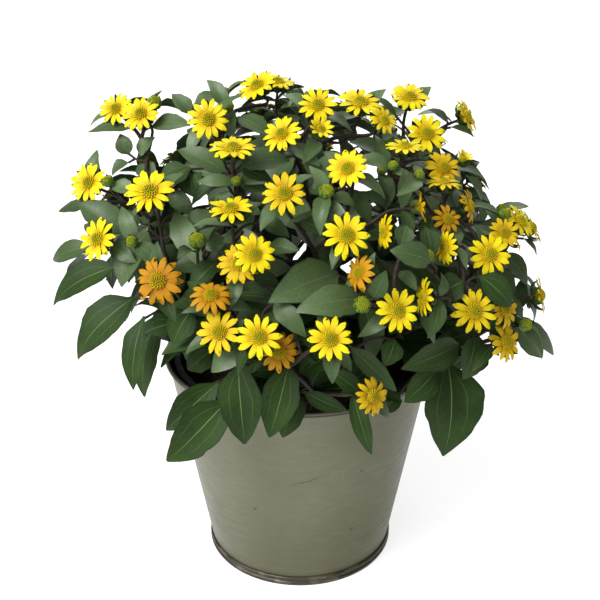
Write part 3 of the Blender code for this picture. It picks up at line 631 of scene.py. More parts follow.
def blade(root, along, over, wide, **more):
    """What the blade tree needs to know of one leaf, ray or bract."""
    over = (over - along * (over.dot(along) / along.length_squared)).normalized()
    made = {"root": root, "along": along, "over": over, "wide": wide}
    made.update({key: more.get(key, 0.0) for key in BLADE_NUMBERS if key != "wide"})
    return made


def grow_blades(name, blades, grid, tree, material, thickness, ripple, waviness=0.0):
    """One mesh of many blades with (rows, columns) of faces each. It keeps what its finish reads."""
    mesh = empty_mesh(name + "_roots", [(0, 0, 0)] * len(blades))
    for key in BLADE_VECTORS + BLADE_NUMBERS:
        store(mesh, key, [b[key] for b in blades])
    blank = blank_blade(name + "_blank", *grid)
    piece = grown(name, mesh, tree, {
        "Blank": blank, "Thickness": thickness, "Ripple": ripple, "Waviness": waviness, "Seed": 3,
        "Material": material}, drop=BLADE_VECTORS + BLADE_BENDS)
    bpy.data.objects.remove(blank)
    return piece


def knob(name, top, rows, sides):
    """A small closed shape: a top point, then rings of (radius, height), the last one filled."""
    points = [(0, 0, top)] + [p for radius, height in rows for p in ring(radius, height, sides)]
    faces = []
    for k in range(sides):
        n = (k + 1) % sides
        faces.append((0, 1 + k, 1 + n))
        for row in range(1, len(points) - sides, sides):
            faces.append((row + k, row + sides + k, row + sides + n, row + n))
    faces.append(tuple(range(len(points) - 1, len(points) - 1 - sides, -1)))
    return bpy.data.objects.new(name, empty_mesh(name, points, faces))


LEAF_OUTLINE = [(0.0, 0.12), (0.05, 0.18), (0.13, 0.52), (0.26, 0.88), (0.4, 1.0), (0.57, 0.94),
                (0.74, 0.7), (0.87, 0.42), (0.95, 0.2), (1.0, 0.05)]
RAY_OUTLINE = [(0.0, 0.62), (0.25, 0.8), (0.55, 1.0), (0.78, 0.98), (0.92, 0.78), (1.0, 0.5)]
BRACT_OUTLINE = [(0.0, 0.8), (0.35, 1.0), (0.75, 0.7), (1.0, 0.1)]
BLANK_BULGE = 0.05  # how far the middle of a blank blade stands off its rim


# ---- materials ----

LEAF_EDGE = (0.006, 0.012, 0.004)
LEAF_UNDERSIDE = (0.03, 0.05, 0.02)
BARK_FLECK = (0.036, 0.026, 0.016)
# painted shade with a yellow stain, multiplied over the planter to the right and low down
ZINC_SHADE_AND_STAIN = (0.5, 0.49, 0.28)
# a painted highlight along the top of the planter's rolled rim
RIM_PAINTED_HIGHLIGHT = (0.3, 0.28, 0.2)
# painted glints: lighter flecks that stand in for highlights on the foot's seam
SEAM_GLINT = (0.16, 0.125, 0.09)


def new_material(name):
    material = bpy.data.materials.new(name)
    material.use_nodes = True
    tree = material.node_tree
    return material, tree, tree.nodes["Principled BSDF"]


def socket_group(name, inputs, outputs):
    """A shader node group with named sockets, given as {name: (socket type, default)}."""
    tree = bpy.data.node_groups.new(name, "ShaderNodeTree")
    for label, (kind, default) in inputs.items():
        socket = tree.interface.new_socket(label, in_out="INPUT", socket_type=kind)
        socket.default_value = default
    for label, kind in outputs.items():
        tree.interface.new_socket(label, in_out="OUTPUT", socket_type=kind)
    return tree, tree.nodes.new("NodeGroupInput"), tree.nodes.new("NodeGroupOutput")


def use_group(tree, group, inputs):
    return add(tree, "ShaderNodeGroup", inputs, node_tree=group)


def mix_colour(tree, share, first, second, mode="MIX"):
    node = add(tree, "ShaderNodeMix", {0: share, 6: first, 7: second}, data_type="RGBA", blend_type=mode)
    return node.outputs[2]


def rgba(colour):
    return (*colour, 1.0)


def lay_over(tree, body, colour, *shares):
    """The body's colour with another one over it, as far as the product of the shares says."""
    return mix_colour(tree, times(tree, *shares), body, rgba(colour))


def read(tree, name, kind="Fac"):
    """An attribute that the mesh stores, as a number or as a vector."""
    return add(tree, "ShaderNodeAttribute", attribute_name=name).outputs[kind]


def cover(tree, shader, colour, roughness, gloss, bump):
    """Gives the shader its colour, roughness, gloss, and bump as (strength, distance, height)."""
    feed(tree, shader.inputs["Base Color"], colour)
    feed(tree, shader.inputs["Roughness"], roughness)
    shader.inputs["Specular IOR Level"].default_value = gloss
    relief = add(tree, "ShaderNodeBump", dict(zip(("Strength", "Distance", "Height"), bump)))
    tree.links.new(out(relief), shader.inputs["Normal"])


def blotch_group():
    """Soft blotches in object space, for colour that varies over tissue, soil and metal."""
    tree, source, end = socket_group("blotches", {
        "Scale": ("NodeSocketFloat", 100.0), "Detail": ("NodeSocketFloat", 3.0),
        "Stretch": ("NodeSocketVector", (1.0, 1.0, 1.0))}, {"Mask": "NodeSocketFloat"})
    stretched = vcalc(tree, "MULTIPLY", where_of(tree), source.outputs["Stretch"])
    spread = noise(tree, stretched, source.outputs["Scale"], source.outputs["Detail"])
    tree.links.new(remap(tree, spread, 0.32, 0.68), end.inputs["Mask"])
    return tree


def blotchy(tree, scale, detail, stretch=(1.0, 1.0, 1.0)):
    """The blotches' mask at one size and stretch."""
    group = shared("blotches", blotch_group)
    return use_group(tree, group, {"Scale": scale, "Detail": detail, "Stretch": stretch}).outputs["Mask"]


def vein_group():
    """Leaf veins from the sheet attribute: a midrib, two side veins from the base, and fine ones."""
    results = ("Main", "Fine", "Height", "Edge", "Under", "Tone")
    tree, source, end = socket_group("leaf_veins", {"Fine Veins": ("NodeSocketFloat", 9.0)},
                                     dict.fromkeys(results, "NodeSocketFloat"))
    t, s, face = split(tree, read(tree, "sheet", "Vector"))
    tone = read(tree, "tone")
    side = calc(tree, "ABSOLUTE", t)
    rib = plus(tree, times(tree, flipped(tree, s), 0.035), 0.014)
    midrib = flipped(tree, remap(tree, calc(tree, "DIVIDE", side, rib), 0.3, 1.0))
    bow = flipped(tree, calc(tree, "POWER", 2.718, times(tree, s, -5.5)))
    off = calc(tree, "ABSOLUTE", less(tree, side, times(tree, bow, 0.56)))
    lateral = flipped(tree, remap(tree, calc(tree, "DIVIDE", off, rib), 0.35, 1.1))
    lateral = times(tree, lateral, flipped(tree, remap(tree, s, 0.55, 0.9)))
    main = calc(tree, "MAXIMUM", midrib, times(tree, lateral, 0.24))
    phase = less(tree, times(tree, s, source.outputs["Fine Veins"]), times(tree, side, 2.0))
    saw = calc(tree, "ABSOLUTE", less(tree, calc(tree, "FRACT", phase), 0.5))
    fine = times(tree, flipped(tree, remap(tree, saw, 0.0, 0.11)), remap(tree, side, 0.02, 0.25))
    quilt = joined(tree, times(tree, t, 5.0), times(tree, s, 17.0), times(tree, tone, 9.0))
    cells = add(tree, "ShaderNodeTexVoronoi", {"Vector": quilt, "Scale": 1.0}, feature="DISTANCE_TO_EDGE")
    cushion = remap(tree, cells.outputs["Distance"], 0.0, 0.3)
    ridge = calc(tree, "MAXIMUM", main, times(tree, fine, 0.5))
    height = plus(tree, flipped(tree, ridge), times(tree, cushion, 0.2))
    edge = remap(tree, side, 0.88, 0.98)
    under = remap(tree, times(tree, face, -1.0), -0.2, 0.2)
    for key, socket in zip(results, (main, fine, height, edge, under, tone)):
        tree.links.new(socket, end.inputs[key])
    return tree


def leaf_material():
    """Green tissue with pale veins and dark edges, greyer and glossier where the tone is high: painted light
    and sheen on high leaves, painted shade on low ones.
    """
    material, tree, shader = new_material("leaf_green")
    look = settings()
    vein = use_group(tree, shared("leaf_veins", vein_group), {"Fine Veins": 9.0}).outputs
    tone = vein["Tone"]
    patch = blotchy(tree, 60.0, 3.0)
    fleck = blotchy(tree, 900.0, 2.0)
    # painted light and sheen: a high tone makes the leaf paler and greyer, and a low one leaves it dark as
    # painted shade
    grey = remap(tree, tone, 0.28, 0.85, shape="LINEAR")
    body = mix_colour(tree, grey, rgba(look.leaf_dark), rgba(look.leaf_grey_lit))
    body = lay_over(tree, body, look.leaf_fresh, patch, 0.5)
    body = lay_over(tree, body, look.leaf_dark, fleck, 0.2)
    body = lay_over(tree, body, look.leaf_vein, vein["Fine"], 0.045)
    body = lay_over(tree, body, look.leaf_vein, vein["Main"], remap(tree, tone, 0.0, 0.7, 0.7, 0.4))
    body = lay_over(tree, body, LEAF_EDGE, vein["Edge"], 0.6)
    body = lay_over(tree, body, LEAF_UNDERSIDE, vein["Under"], 0.55)
    body = lay_over(tree, body, look.bud_green, read(tree, "age"), 0.8)
    rough = plus(tree, remap(tree, tone, 0.1, 0.8, 0.5, 0.36), times(tree, patch, 0.1))
    cover(tree, shader, body, rough, gloss=0.14, bump=(0.4, 0.3 * MM, vein["Height"]))
    tree.links.new(remap(tree, tone, 0.1, 0.8, 0.0, 0.35), shader.inputs["Coat Weight"])
    shader.inputs["Coat Roughness"].default_value = 0.38
    return material


def ray_material():
    """Yellow rays, warmer at the foot and with age, with fine grooves along them and painted shade in the
    grooves.
    """
    material, tree, shader = new_material("ray_yellow")
    look = settings()
    sheet = read(tree, "sheet", "Vector")
    tone = read(tree, "tone")
    age = read(tree, "age")
    t, s, _ = split(tree, sheet)
    body = mix_colour(tree, times(tree, tone, 0.5), rgba(look.ray_yellow), rgba(look.ray_gold))
    body = lay_over(tree, body, look.ray_orange, age)
    warm = mix_colour(tree, age, rgba(look.ray_orange), rgba(look.ray_rust))
    foot = flipped(tree, remap(tree, s, 0.1, 0.6))
    warmth = times(tree, foot, plus(tree, times(tree, tone, 0.5), 0.35))
    body = mix_colour(tree, warmth, body, warm)
    groove = remap(tree, calc(tree, "SINE", times(tree, t, 14.0)), -1.0, 0.2)
    # painted shade: the grooves take the warm colour
    body = mix_colour(tree, times(tree, flipped(tree, groove), 0.22), body, warm)
    grain = noise(tree, sheet, 14.0, 3.0)
    height = plus(tree, times(tree, groove, 0.6), times(tree, grain, 0.4))
    rough = remap(tree, grain, 0.3, 0.7, 0.45, 0.62)
    cover(tree, shader, body, rough, gloss=0.15, bump=(0.4, 0.3 * MM, height))
    return material


def disc_material():
    """Florets: closed green ones in the middle, open golden brown ones at the rim of the disc, with painted
    shade between them.
    """
    material, tree, shader = new_material("disc_florets")
    look = settings()
    outer = remap(tree, read(tree, "ring"), 0.35, 0.85)
    # painted shade: the low parts of florets and the cushion between them take the shaded colour
    shade_between_florets = flipped(tree, remap(tree, read(tree, "level"), 0.2, 0.9))
    speckle = noise(tree, where_of(tree), 1500.0, 2.0)
    body = mix_colour(tree, outer, rgba(look.disc_green), rgba(look.disc_gold))
    body = lay_over(tree, body, look.disc_brown_and_shade, read(tree, "age"), 0.6)
    body = lay_over(tree, body, look.disc_brown_and_shade, shade_between_florets)
    body = lay_over(tree, body, look.bud_green, read(tree, "young"), 0.75)
    body = lay_over(tree, body, look.disc_gold, remap(tree, speckle, 0.45, 0.7, 0.0, 0.4))
    rough = remap(tree, speckle, 0.3, 0.7, 0.5, 0.75)
    cover(tree, shader, body, rough, gloss=0.12, bump=(0.3, 0.2 * MM, speckle))
    return material


def stem_material():
    """Brown bark with long purple spots and fine dark flecks."""
    material, tree, shader = new_material("stem_bark")
    look = settings()
    long_spots = blotchy(tree, 260.0, 3.0, (1.0, 1.0, 0.35))
    fine = blotchy(tree, 2200.0, 2.0, (1.0, 1.0, 0.4))
    body = lay_over(tree, rgba(look.stem_brown), look.stem_purple, long_spots, 0.5)
    body = lay_over(tree, body, BARK_FLECK, fine, 0.3)
    rough = remap(tree, fine, 0.0, 1.0, 0.45, 0.7)
    cover(tree, shader, body, rough, gloss=0.2, bump=(0.5, 0.2 * MM, fine))
    return material


def scratch_and_specks(tree, x, y, z):
    """One fine wandering scratch and a few dark specks on the front of the wall, as a mask."""
    wander = noise(tree, vcalc(tree, "SCALE", where_of(tree), 260.0))
    along = less(tree, x, SCRATCH["x"])
    line = plus(tree, SCRATCH["z"], times(tree, along, SCRATCH["slope"]))
    line = plus(tree, line, times(tree, less(tree, wander, 0.5), SCRATCH["wander"]))
    off = calc(tree, "ABSOLUTE", less(tree, z, line))
    far = calc(tree, "ABSOLUTE", along)
    fading = remap(tree, far, 0.6 * SCRATCH["reach"], SCRATCH["reach"])
    mark = times(tree, flipped(tree, remap(tree, off, 0.0, SCRATCH["width"])), flipped(tree, fading))
    for speck_x, speck_z, radius in SPECKS:
        off_speck = joined(tree, less(tree, x, speck_x * MM), 0.0, less(tree, z, speck_z * MM))
        outside = remap(tree, vcalc(tree, "LENGTH", off_speck), radius * 0.3 * MM, radius * MM)
        mark = calc(tree, "MAXIMUM", mark, flipped(tree, outside))
    return times(tree, mark, calc(tree, "LESS_THAN", y, 0.0))


def where_of(tree):
    return add(tree, "ShaderNodeTexCoord").outputs["Object"]


def zinc_material(name, rim_middle, wall_line, seam):
    """Dull galvanised sheet: level brushing, fine grain, cloudy patches, grime, a scratch and specks, with
    painted shade and highlights.
    """
    material, tree, shader = new_material(name)
    look = settings()
    clouds = blotchy(tree, 22.0, 4.0, (1.0, 1.0, 0.8))
    brushing = blotchy(tree, 60.0, 5.0, (1.6, 1.6, 40.0))
    upright = blotchy(tree, 60.0, 4.0, (24.0, 24.0, 1.6))
    grain = blotchy(tree, 900.0, 2.0)
    where = where_of(tree)
    x, y, z = split(tree, where)
    body = mix_colour(tree, clouds, rgba(look.zinc_shade), rgba(look.zinc_light))
    for mask, share in ((brushing, 0.3), (upright, 0.16), (grain, 0.2)):
        body = lay_over(tree, body, look.zinc_dull, mask, share)
    # darker and yellower to the right and low down: painted shade, with a yellow stain
    sideways = remap(tree, x, -8 * MM, 45 * MM, 0.0, 0.6)
    low = remap(tree, z, 70 * MM, 12 * MM, 0.0, 0.5)
    shade_and_stain = calc(tree, "ADD", sideways, low, clamp=True)
    body = mix_colour(tree, shade_and_stain, body, rgba(ZINC_SHADE_AND_STAIN), "MULTIPLY")
    # the rim: a painted highlight on top of the roll, painted shade below the roll with some dark oxide, and
    # painted shade at the left end below the rim
    roll = less(tree, z, rim_middle)
    below = flipped(tree, remap(tree, roll, -0.1 * MM, 0.5 * MM))
    under = times(tree, remap(tree, roll, -1.7 * MM, -1.2 * MM), below)
    shaded_left_end = times(tree, remap(tree, x, -46 * MM, -56 * MM), remap(tree, roll, -2.6 * MM, -1.6 * MM))
    body = lay_over(tree, body, RIM_PAINTED_HIGHLIGHT, remap(tree, roll, 0.2 * MM, 0.6 * MM, 0.0, 0.6))
    body = lay_over(tree, body, look.grime_and_shade, under, 0.95)
    body = lay_over(tree, body, look.grime_and_shade, shaded_left_end, 0.75)
    # painted shade on the inside of the wall
    radial = vcalc(tree, "LENGTH", vcalc(tree, "MULTIPLY", where, (1.0, 1.0, 0.0)))
    line = plus(tree, wall_line[0], times(tree, z, wall_line[1]))
    inside = remap(tree, less(tree, line, radial), -0.1 * MM, 0.1 * MM)
    body = lay_over(tree, body, look.grime_and_shade, inside, 0.9)
    if seam:
        body = lay_over(tree, body, look.grime_and_shade, remap(tree, clouds, 0.0, 1.0, seam, seam * 0.8))
        # painted glints: lighter flecks of colour that stand in for highlights on the folded seam
        glints = blotchy(tree, 120.0, 3.0, (1.0, 1.0, 3.0))
        body = lay_over(tree, body, SEAM_GLINT, remap(tree, glints, 0.55, 1.0, 0.0, 0.5))
    else:
        body = lay_over(tree, body, look.grime_and_shade, scratch_and_specks(tree, x, y, z), 0.6)
    rough = plus(tree, remap(tree, brushing, 0.0, 1.0, 0.34, 0.46), times(tree, clouds, 0.08))
    height = plus(tree, times(tree, brushing, 0.5), times(tree, grain, 0.3))
    cover(tree, shader, body, rough, gloss=0.5, bump=(0.18, 0.3 * MM, height))
    shader.inputs["Metallic"].default_value = 0.5
    return material


def plain_material(name, dark, light, roughness, scale, depth):
    """A finish with one blotchy colour, for plastic, soil and the floor."""
    material, tree, shader = new_material(name)
    blotch = blotchy(tree, scale, 5.0)
    colour = mix_colour(tree, blotch, rgba(dark), rgba(light))
    rough = remap(tree, blotch, 0.0, 1.0, *roughness)
    cover(tree, shader, colour, rough, gloss=0.2, bump=(0.5, depth, blotch))
    return material


# ---- the plant's plan: paths, heads and leaves ----

def facing(azimuth, up):
    """The direction of an azimuth, 0 to the front and 90 to the right, and a rise in degrees."""
    a, e = radians(azimuth), radians(up)
    return Vector((sin(a) * cos(e), -cos(a) * cos(e), sin(e)))


def metres(point):
    return Vector(point) * MM


def head_at(spot, **more):
    """A head or a bud from its row in the tables."""
    x, y, z, azimuth, up, diameter = spot
    return {"place": metres((x, y, z)), "axis": facing(azimuth, up), "diameter": diameter * MM,
            "age": 0.0, "open": 1.0, **more}


def smooth_path(points, steps):
    """Catmull-Rom curve through the points, as steps + 1 points for each span."""
    padded = [points[0] * 2 - points[1], *points, points[-1] * 2 - points[-2]]
    path = []
    for a, b, c, d in zip(padded, padded[1:], padded[2:], padded[3:]):
        for i in range(steps):
            t = i / steps
            path.append(0.5 * (2 * b + (c - a) * t + (2 * a - 5 * b + 4 * c - d) * t * t
                               + (3 * b - a - 3 * c + d) * t ** 3))
    return path + [points[-1]]


def stalk_path(stems, place, axis, depth):
    """A stalk to a head from the best place on the stems so far: near it, and well below it."""
    neck = place - axis * depth
    choices = [(b, (b - a).normalized()) for path in stems for a, b in zip(path, path[1:])]

    def cost(choice):
        return (choice[0] - neck).length + 3 * max(0.0, choice[0].z + STALK_DROP - neck.z)

    start, rise = min(choices, key=cost)
    reach = (neck - start).length
    middle = start.lerp(neck, 0.5) + rise * reach * 0.06
    return smooth_path([start, middle, neck - axis * reach * 0.22, neck], 4)


def plan_plant():
    """Paths of all stems, and every head and bud with its place, axis, diameter, age and openness."""
    paths, heads, buds = {}, [], []
    for name, branch in BRANCHES.items():
        foot, bend, fork = (metres(branch[key]) for key in ("foot", "bend", "fork"))
        foot.z = SOIL_TOP - 1 * MM
        main = [foot] + smooth_path([foot + Vector((0, 0, 6 * MM)), bend, fork], 6)
        stems = [main[3:]]
        own_heads = [head_at(spot, age=AGES.get((name, i), 0.0)) for i, spot in enumerate(branch["heads"])]
        own_heads += [head_at(spot, **more) for owner, spot, more in MORE_HEADS if owner == name]
        own_buds = [head_at(spot) for owner, spot in BUDS if owner == name]
        for head in own_heads:
            stems.append(stalk_path(stems, head["place"], head["axis"], HEAD_DEPTH))
        for bud in own_buds:
            stems.append(stalk_path(stems, bud["place"], bud["axis"], bud["diameter"] * 0.3))
        shoots = []
        for end in [metres(end) for owner, end, _ in SHOOTS if owner == name]:
            start = min(main[5:], key=lambda p: (p - end).length)
            shoots.append(smooth_path([start, start.lerp(end, 0.5) + Vector((0, 0, 3 * MM)), end], 4))
        paths[name] = {"main": main, "stalks": stems[1:], "shoots": shoots}
        heads += own_heads
        buds += own_buds
    paths["twigs"] = plan_twigs(paths)
    return paths, heads, buds


def plan_twigs(paths):
    """A short twig to each front leaf from the nearest stem that is below it."""
    stems = [path for plan in paths.values() for path in [plan["main"][4:], *plan["stalks"], *plan["shoots"]]]
    near = [p for path in stems for p in path]
    twigs = []
    for root, tip, _, _ in FRONT_LEAVES:
        root, tip = metres(root), metres(tip)
        start = min(near, key=lambda p: (p - root).length + max(0.0, p.z - root.z + 4 * MM) * 1.5)
        if (start - root).length < 1.2 * MM:
            continue
        lean = (root - tip).normalized() * (root - start).length * 0.15
        twigs.append(smooth_path([start, start.lerp(root, 0.55) + lean, root + (tip - root) * 0.03], 3))
        near += twigs[-1][1:]
    return twigs


def stem_plans(paths):
    return [plan for name, plan in paths.items() if name != "twigs"]


def ball_round(points):
    """The middle of some points and the distance of the farthest."""
    centre = sum(points, Vector()) / len(points)
    return centre, max((p - centre).length for p in points)


class Obstacles:
    """Shapes that leaves have to miss, each kept as a tree with a bounding ball."""

    def __init__(self):
        self.items = []

    def add(self, points, faces):
        self.items.append((*ball_round(points), BVHTree.FromPolygons(points, faces)))

    def clear(self, points, faces):
        centre, radius = ball_round(points)
        tree = None
        for other, far, shape in self.items:
            if (other - centre).length < radius + far:
                tree = tree or BVHTree.FromPolygons(points, faces)
                if tree.overlap(shape):
                    return False
        return True


def leaf_outline(leaf):
    """A coarse copy of a leaf, from a little past its foot, to test against others."""
    across = leaf["along"].cross(leaf["over"]).normalized()
    points, faces = [], []
    for s, width in COARSE_LEAF:
        half = leaf["wide"] * width / 2
        arch = leaf["along"].length * (leaf["arch"] * 4 * s * (1 - s) - leaf["curl"] * s ** 3)
        spine = leaf["root"] + leaf["along"] * s + leaf["over"] * arch
        rim = leaf["over"] * leaf["fold"] * half
        points += [spine - across * half + rim, spine, spine + across * half + rim]
    for r in range(len(COARSE_LEAF) - 1):
        for c in range(2):
            a = 3 * r + c
            faces.append((a, a + 1, a + 4, a + 3))
    return points, faces


def middles(points):
    """Points halfway along a coarse leaf's edges."""
    return [a.lerp(b, 0.5) for a, b in zip(points, points[3:])]


def spoke(axis, turn):
    """A direction square to the axis, turned round it."""
    return Matrix.Rotation(turn, 3, axis) @ axis.orthogonal().normalized()


def tube_outline(path, radius):
    """A thin three-sided tube round a path, to test leaves against."""
    points, faces = [], []
    for i, p in enumerate(path):
        step = (path[min(i + 1, len(path) - 1)] - path[max(i - 1, 0)]).normalized()
        points += [p + spoke(step, 2 * pi * k / 3) * radius for k in range(3)]
        if i:
            for k in range(3):
                a, b = 3 * i + k, 3 * i + (k + 1) % 3
                faces.append((a - 3, b - 3, b, a))
    return points, faces


def disc_outline(head):
    """A flat eight-sided double cone in place of a head or a bud."""
    place, axis = head["place"], head["axis"]
    rim = [place + spoke(axis, 2 * pi * k / 8) * (head["diameter"] * 0.5) for k in range(8)]
    ends = [place + axis * 3 * MM, place - axis * 3 * MM]
    return rim + ends, [(k, (k + 1) % 8, e) for k in range(8) for e in (8, 9)]


def upward(place, along, rng, outward=0.55):
    """The way a leaf's upper side faces: up and out from the plant, turned a little by chance."""
    out_way = Vector((place.x, place.y, 0))
    out_way = out_way.normalized() if out_way.length > 5 * MM else Vector((0, -1, 0))
    chance = Vector((rng.uniform(-0.25, 0.25), rng.uniform(-0.25, 0.25), 0))
    wish = Vector((0, 0, 1)) + out_way * outward + chance
    wish = wish - along * (wish.dot(along) / along.length_squared)
    return wish.normalized()


def spots_on(path, pairs, start_turn):
    """(place, outward direction, length) of each leaf of the opposite pairs along a path."""
    found = []
    for i, (share, length) in enumerate(pairs):
        at = share * (len(path) - 1)
        k = min(int(at), len(path) - 2)
        place = path[k].lerp(path[k + 1], at - k)
        step = (path[k + 1] - path[k]).normalized()
        side = step.orthogonal().normalized()
        side.rotate(Matrix.Rotation(radians(start_turn + 90 * i), 3, step))
        for way in (side + step * 0.3, step * 0.3 - side):
            found.append((place, way.normalized(), length))
    return found


def crown_level(p):
    """0 in the middle of the crown and 1 on its surface."""
    middle, half = CROWN
    return sqrt(sum(((p[i] - middle[i]) / half[i]) ** 2 for i in range(3)))


def crown_way(p):
    """The way out of the crown's surface."""
    middle, half = CROWN
    return Vector([(p[i] - middle[i]) / half[i] ** 2 for i in range(3)]).normalized()


def in_opening(p):
    """Whether a point lies in one of the straight openings through the crown."""
    for *middle, radius in OPENINGS:
        off = p - metres(middle)
        way = (metres(middle) - SIGHT).normalized()
        if (off - way * off.dot(way)).length < radius * MM:
            return True
    return False


def before_a_face(p, heads):
    """Whether a point lies close in front of a head's face or hides it from the front."""
    for head in heads:
        if head["place"].y > REAR_HEADS:
            continue
        off = p - head["place"]
        for way in (head["axis"], (SIGHT - head["place"]).normalized()):
            depth = off.dot(way)
            if 1 * MM < depth < FACE_ROOM and (off - way * depth).length < head["diameter"] * 0.46:
                return True
    return False


def leaf_try(place, way, length, share, turn, tilt, rng, tone):
    """A leaf of a share of its length, turned sideways and tilted up by degrees."""
    heading = Matrix.Rotation(radians(turn), 3, "Z") @ way
    heading = (heading + Vector((0, 0, 0.1 + sin(radians(tilt))))).normalized()
    along = heading * length * share
    return blade(place, along, upward(place + along, along, rng), length * share * rng.uniform(0.39, 0.51),
                 arch=rng.uniform(0.05, 0.14), fold=rng.uniform(0.1, 0.55), curl=rng.uniform(0.02, 0.24),
                 twist=rng.uniform(-0.45, 0.45), tone=tone, seed=rng.random())


def leaf_tone(place, rng):
    """Painted light: high leaves are greyer and paler than low ones, which stay dark as painted shade, plus a
    random share.
    """
    return max(0.0, min(1.0, (place.z - LOW_TONE) / TONE_RISE)) * 0.62 + rng.uniform(0.0, 0.38)


def outside_crown(leaf, points):
    """Whether a leaf reaches out of the crown, or hangs low and far out."""
    limit = FRONT_LIMIT if leaf["root"].y < 10 * MM else 1.0
    return any(p.z < LOW_LEAF and p.xy.length > LOW_REACH or crown_level(p) > limit for p in points)


def past_the_part(p):
    """Whether a point lies outside the part's own box."""
    return abs(p.x) > REACH[0] or abs(p.y) > REACH[1] or p.z > CAD_BOX[1][2]


class LeafPlan:
    """The leaves so far. A leaf that would cut a stem, a head or another leaf is left out."""

    def __init__(self, paths, heads, buds):
        self.rng = random.Random(11)
        self.heads = heads
        self.leaves = []
        self.blocked = Obstacles()
        for plan in stem_plans(paths):
            for path in [plan["main"], *plan["stalks"], *plan["shoots"]]:
                self.blocked.add(*tube_outline(path, 1.2 * MM))
        for head in heads + buds:
            self.blocked.add(*disc_outline(head))
        count = 32
        rim = ring(RIM_RADIUS, RIM_TOP, count) + ring(RIM_RADIUS, WALL_MIDDLE, count)
        self.blocked.add([Vector(p) for p in rim], [
            (k, (k + 1) % count, count + (k + 1) % count, count + k) for k in range(count)])

    def keep(self, leaf, chosen=False, collar=False):
        """Keep a leaf if it fits. Chosen leaves may cover a face, and collars may leave the crown."""
        points, faces = leaf_outline(leaf)
        more = points + middles(points)
        if not chosen and not collar and (outside_crown(leaf, points) or any(in_opening(p) for p in more)):
            return False
        if any(past_the_part(p) for p in points) or not self.blocked.clear(points, faces):
            return False
        if not chosen and any(before_a_face(p, self.heads) for p in more):
            return False
        self.blocked.add(points, faces)
        self.leaves.append(leaf)
        return True

    def shoot_leaves(self):
        """The large leaves at the ends of the side shoots."""
        rng = self.rng
        for root, tip, width in [(end, tip, width) for _, end, tips in SHOOTS for tip, width in tips]:
            root, tip = metres(root), metres(tip)
            along = tip - root
            for arch in (0.18, 0.26, 0.1, 0.34, 0.02):
                leaf = blade(root, along, upward(tip, along, rng, 1.5), width * MM * FULLER, arch=arch,
                             fold=0.12, twist=rng.uniform(-0.2, 0.2), tone=rng.uniform(0.0, 0.15),
                             seed=rng.random())
                if self.keep(leaf, chosen=True):
                    break

    def front_leaves(self):
        """The leaves of the table, each moved or bent a little until it fits."""
        rng = self.rng
        for root, tip, width, tone in FRONT_LEAVES:
            root, tip = metres(root), metres(tip)
            wish = crown_way(root.lerp(tip, 0.6)) * 0.9 + Vector((0, -0.6, 0.5))
            for shift, arch in FRONT_TRIES:
                along = tip + Vector((0, shift * MM, 0)) - root
                leaf = blade(root, along, wish, width * MM * FULLER, arch=arch,
                             fold=rng.uniform(0.1, 0.4), curl=rng.uniform(0.0, 0.1),
                             twist=rng.uniform(-0.25, 0.25),
                             tone=min(1.0, max(0.0, tone + rng.uniform(-0.1, 0.1))), seed=rng.random())
                if self.keep(leaf, chosen=True):
                    break

    def chance_leaves(self, spots, collar):
        """Leaves of the opposite pairs, each made shorter, tilted and turned until it fits."""
        for place, way, length in spots:
            if place.z < LOWEST_LEAF:
                continue
            tone = leaf_tone(place, self.rng)
            for share, tilt, turn in CHANCE_TRIES:
                leaf = leaf_try(place, way, length, share, turn, tilt, self.rng, tone)
                if self.keep(leaf, collar=collar):
                    break


def plan_leaves(paths, heads, buds):
    """Every leaf as a blade: the chosen ones first, then those that grow by chance."""
    made = LeafPlan(paths, heads, buds)
    made.shoot_leaves()
    made.front_leaves()
    for twig in paths["twigs"]:
        made.blocked.add(*tube_outline(twig, 0.8 * MM))
    spots, collars = [], []
    for order, plan in enumerate(stem_plans(paths)):
        spots += spots_on(plan["main"], BRANCH_PAIRS, 40 * order)
        for i, stalk in enumerate(plan["stalks"]):
            reach = sum((b - a).length for a, b in zip(stalk, stalk[1:]))
            few = max(0, min(5, 5 - int(reach / (10 * MM))))
            collars += spots_on(stalk, [COLLAR_PAIR], 50 * i)
            spots += spots_on(stalk, STALK_PAIRS[few:], 40 * order + 55 * i)
        for i, shoot in enumerate(plan["shoots"]):
            spots += spots_on(shoot, SHOOT_PAIRS, 70 * i)
    spots.sort(key=lambda spot: -spot[2])
    made.chance_leaves(collars, collar=True)
    made.chance_leaves(spots, collar=False)
    return made.leaves


# ---- settings ----

def colour_setting(name, description, default):
    """A colour that a user may change, in linear light."""
    return FloatVectorProperty(name=name, description=description, default=default, subtype="COLOR",
                               min=0, max=1)


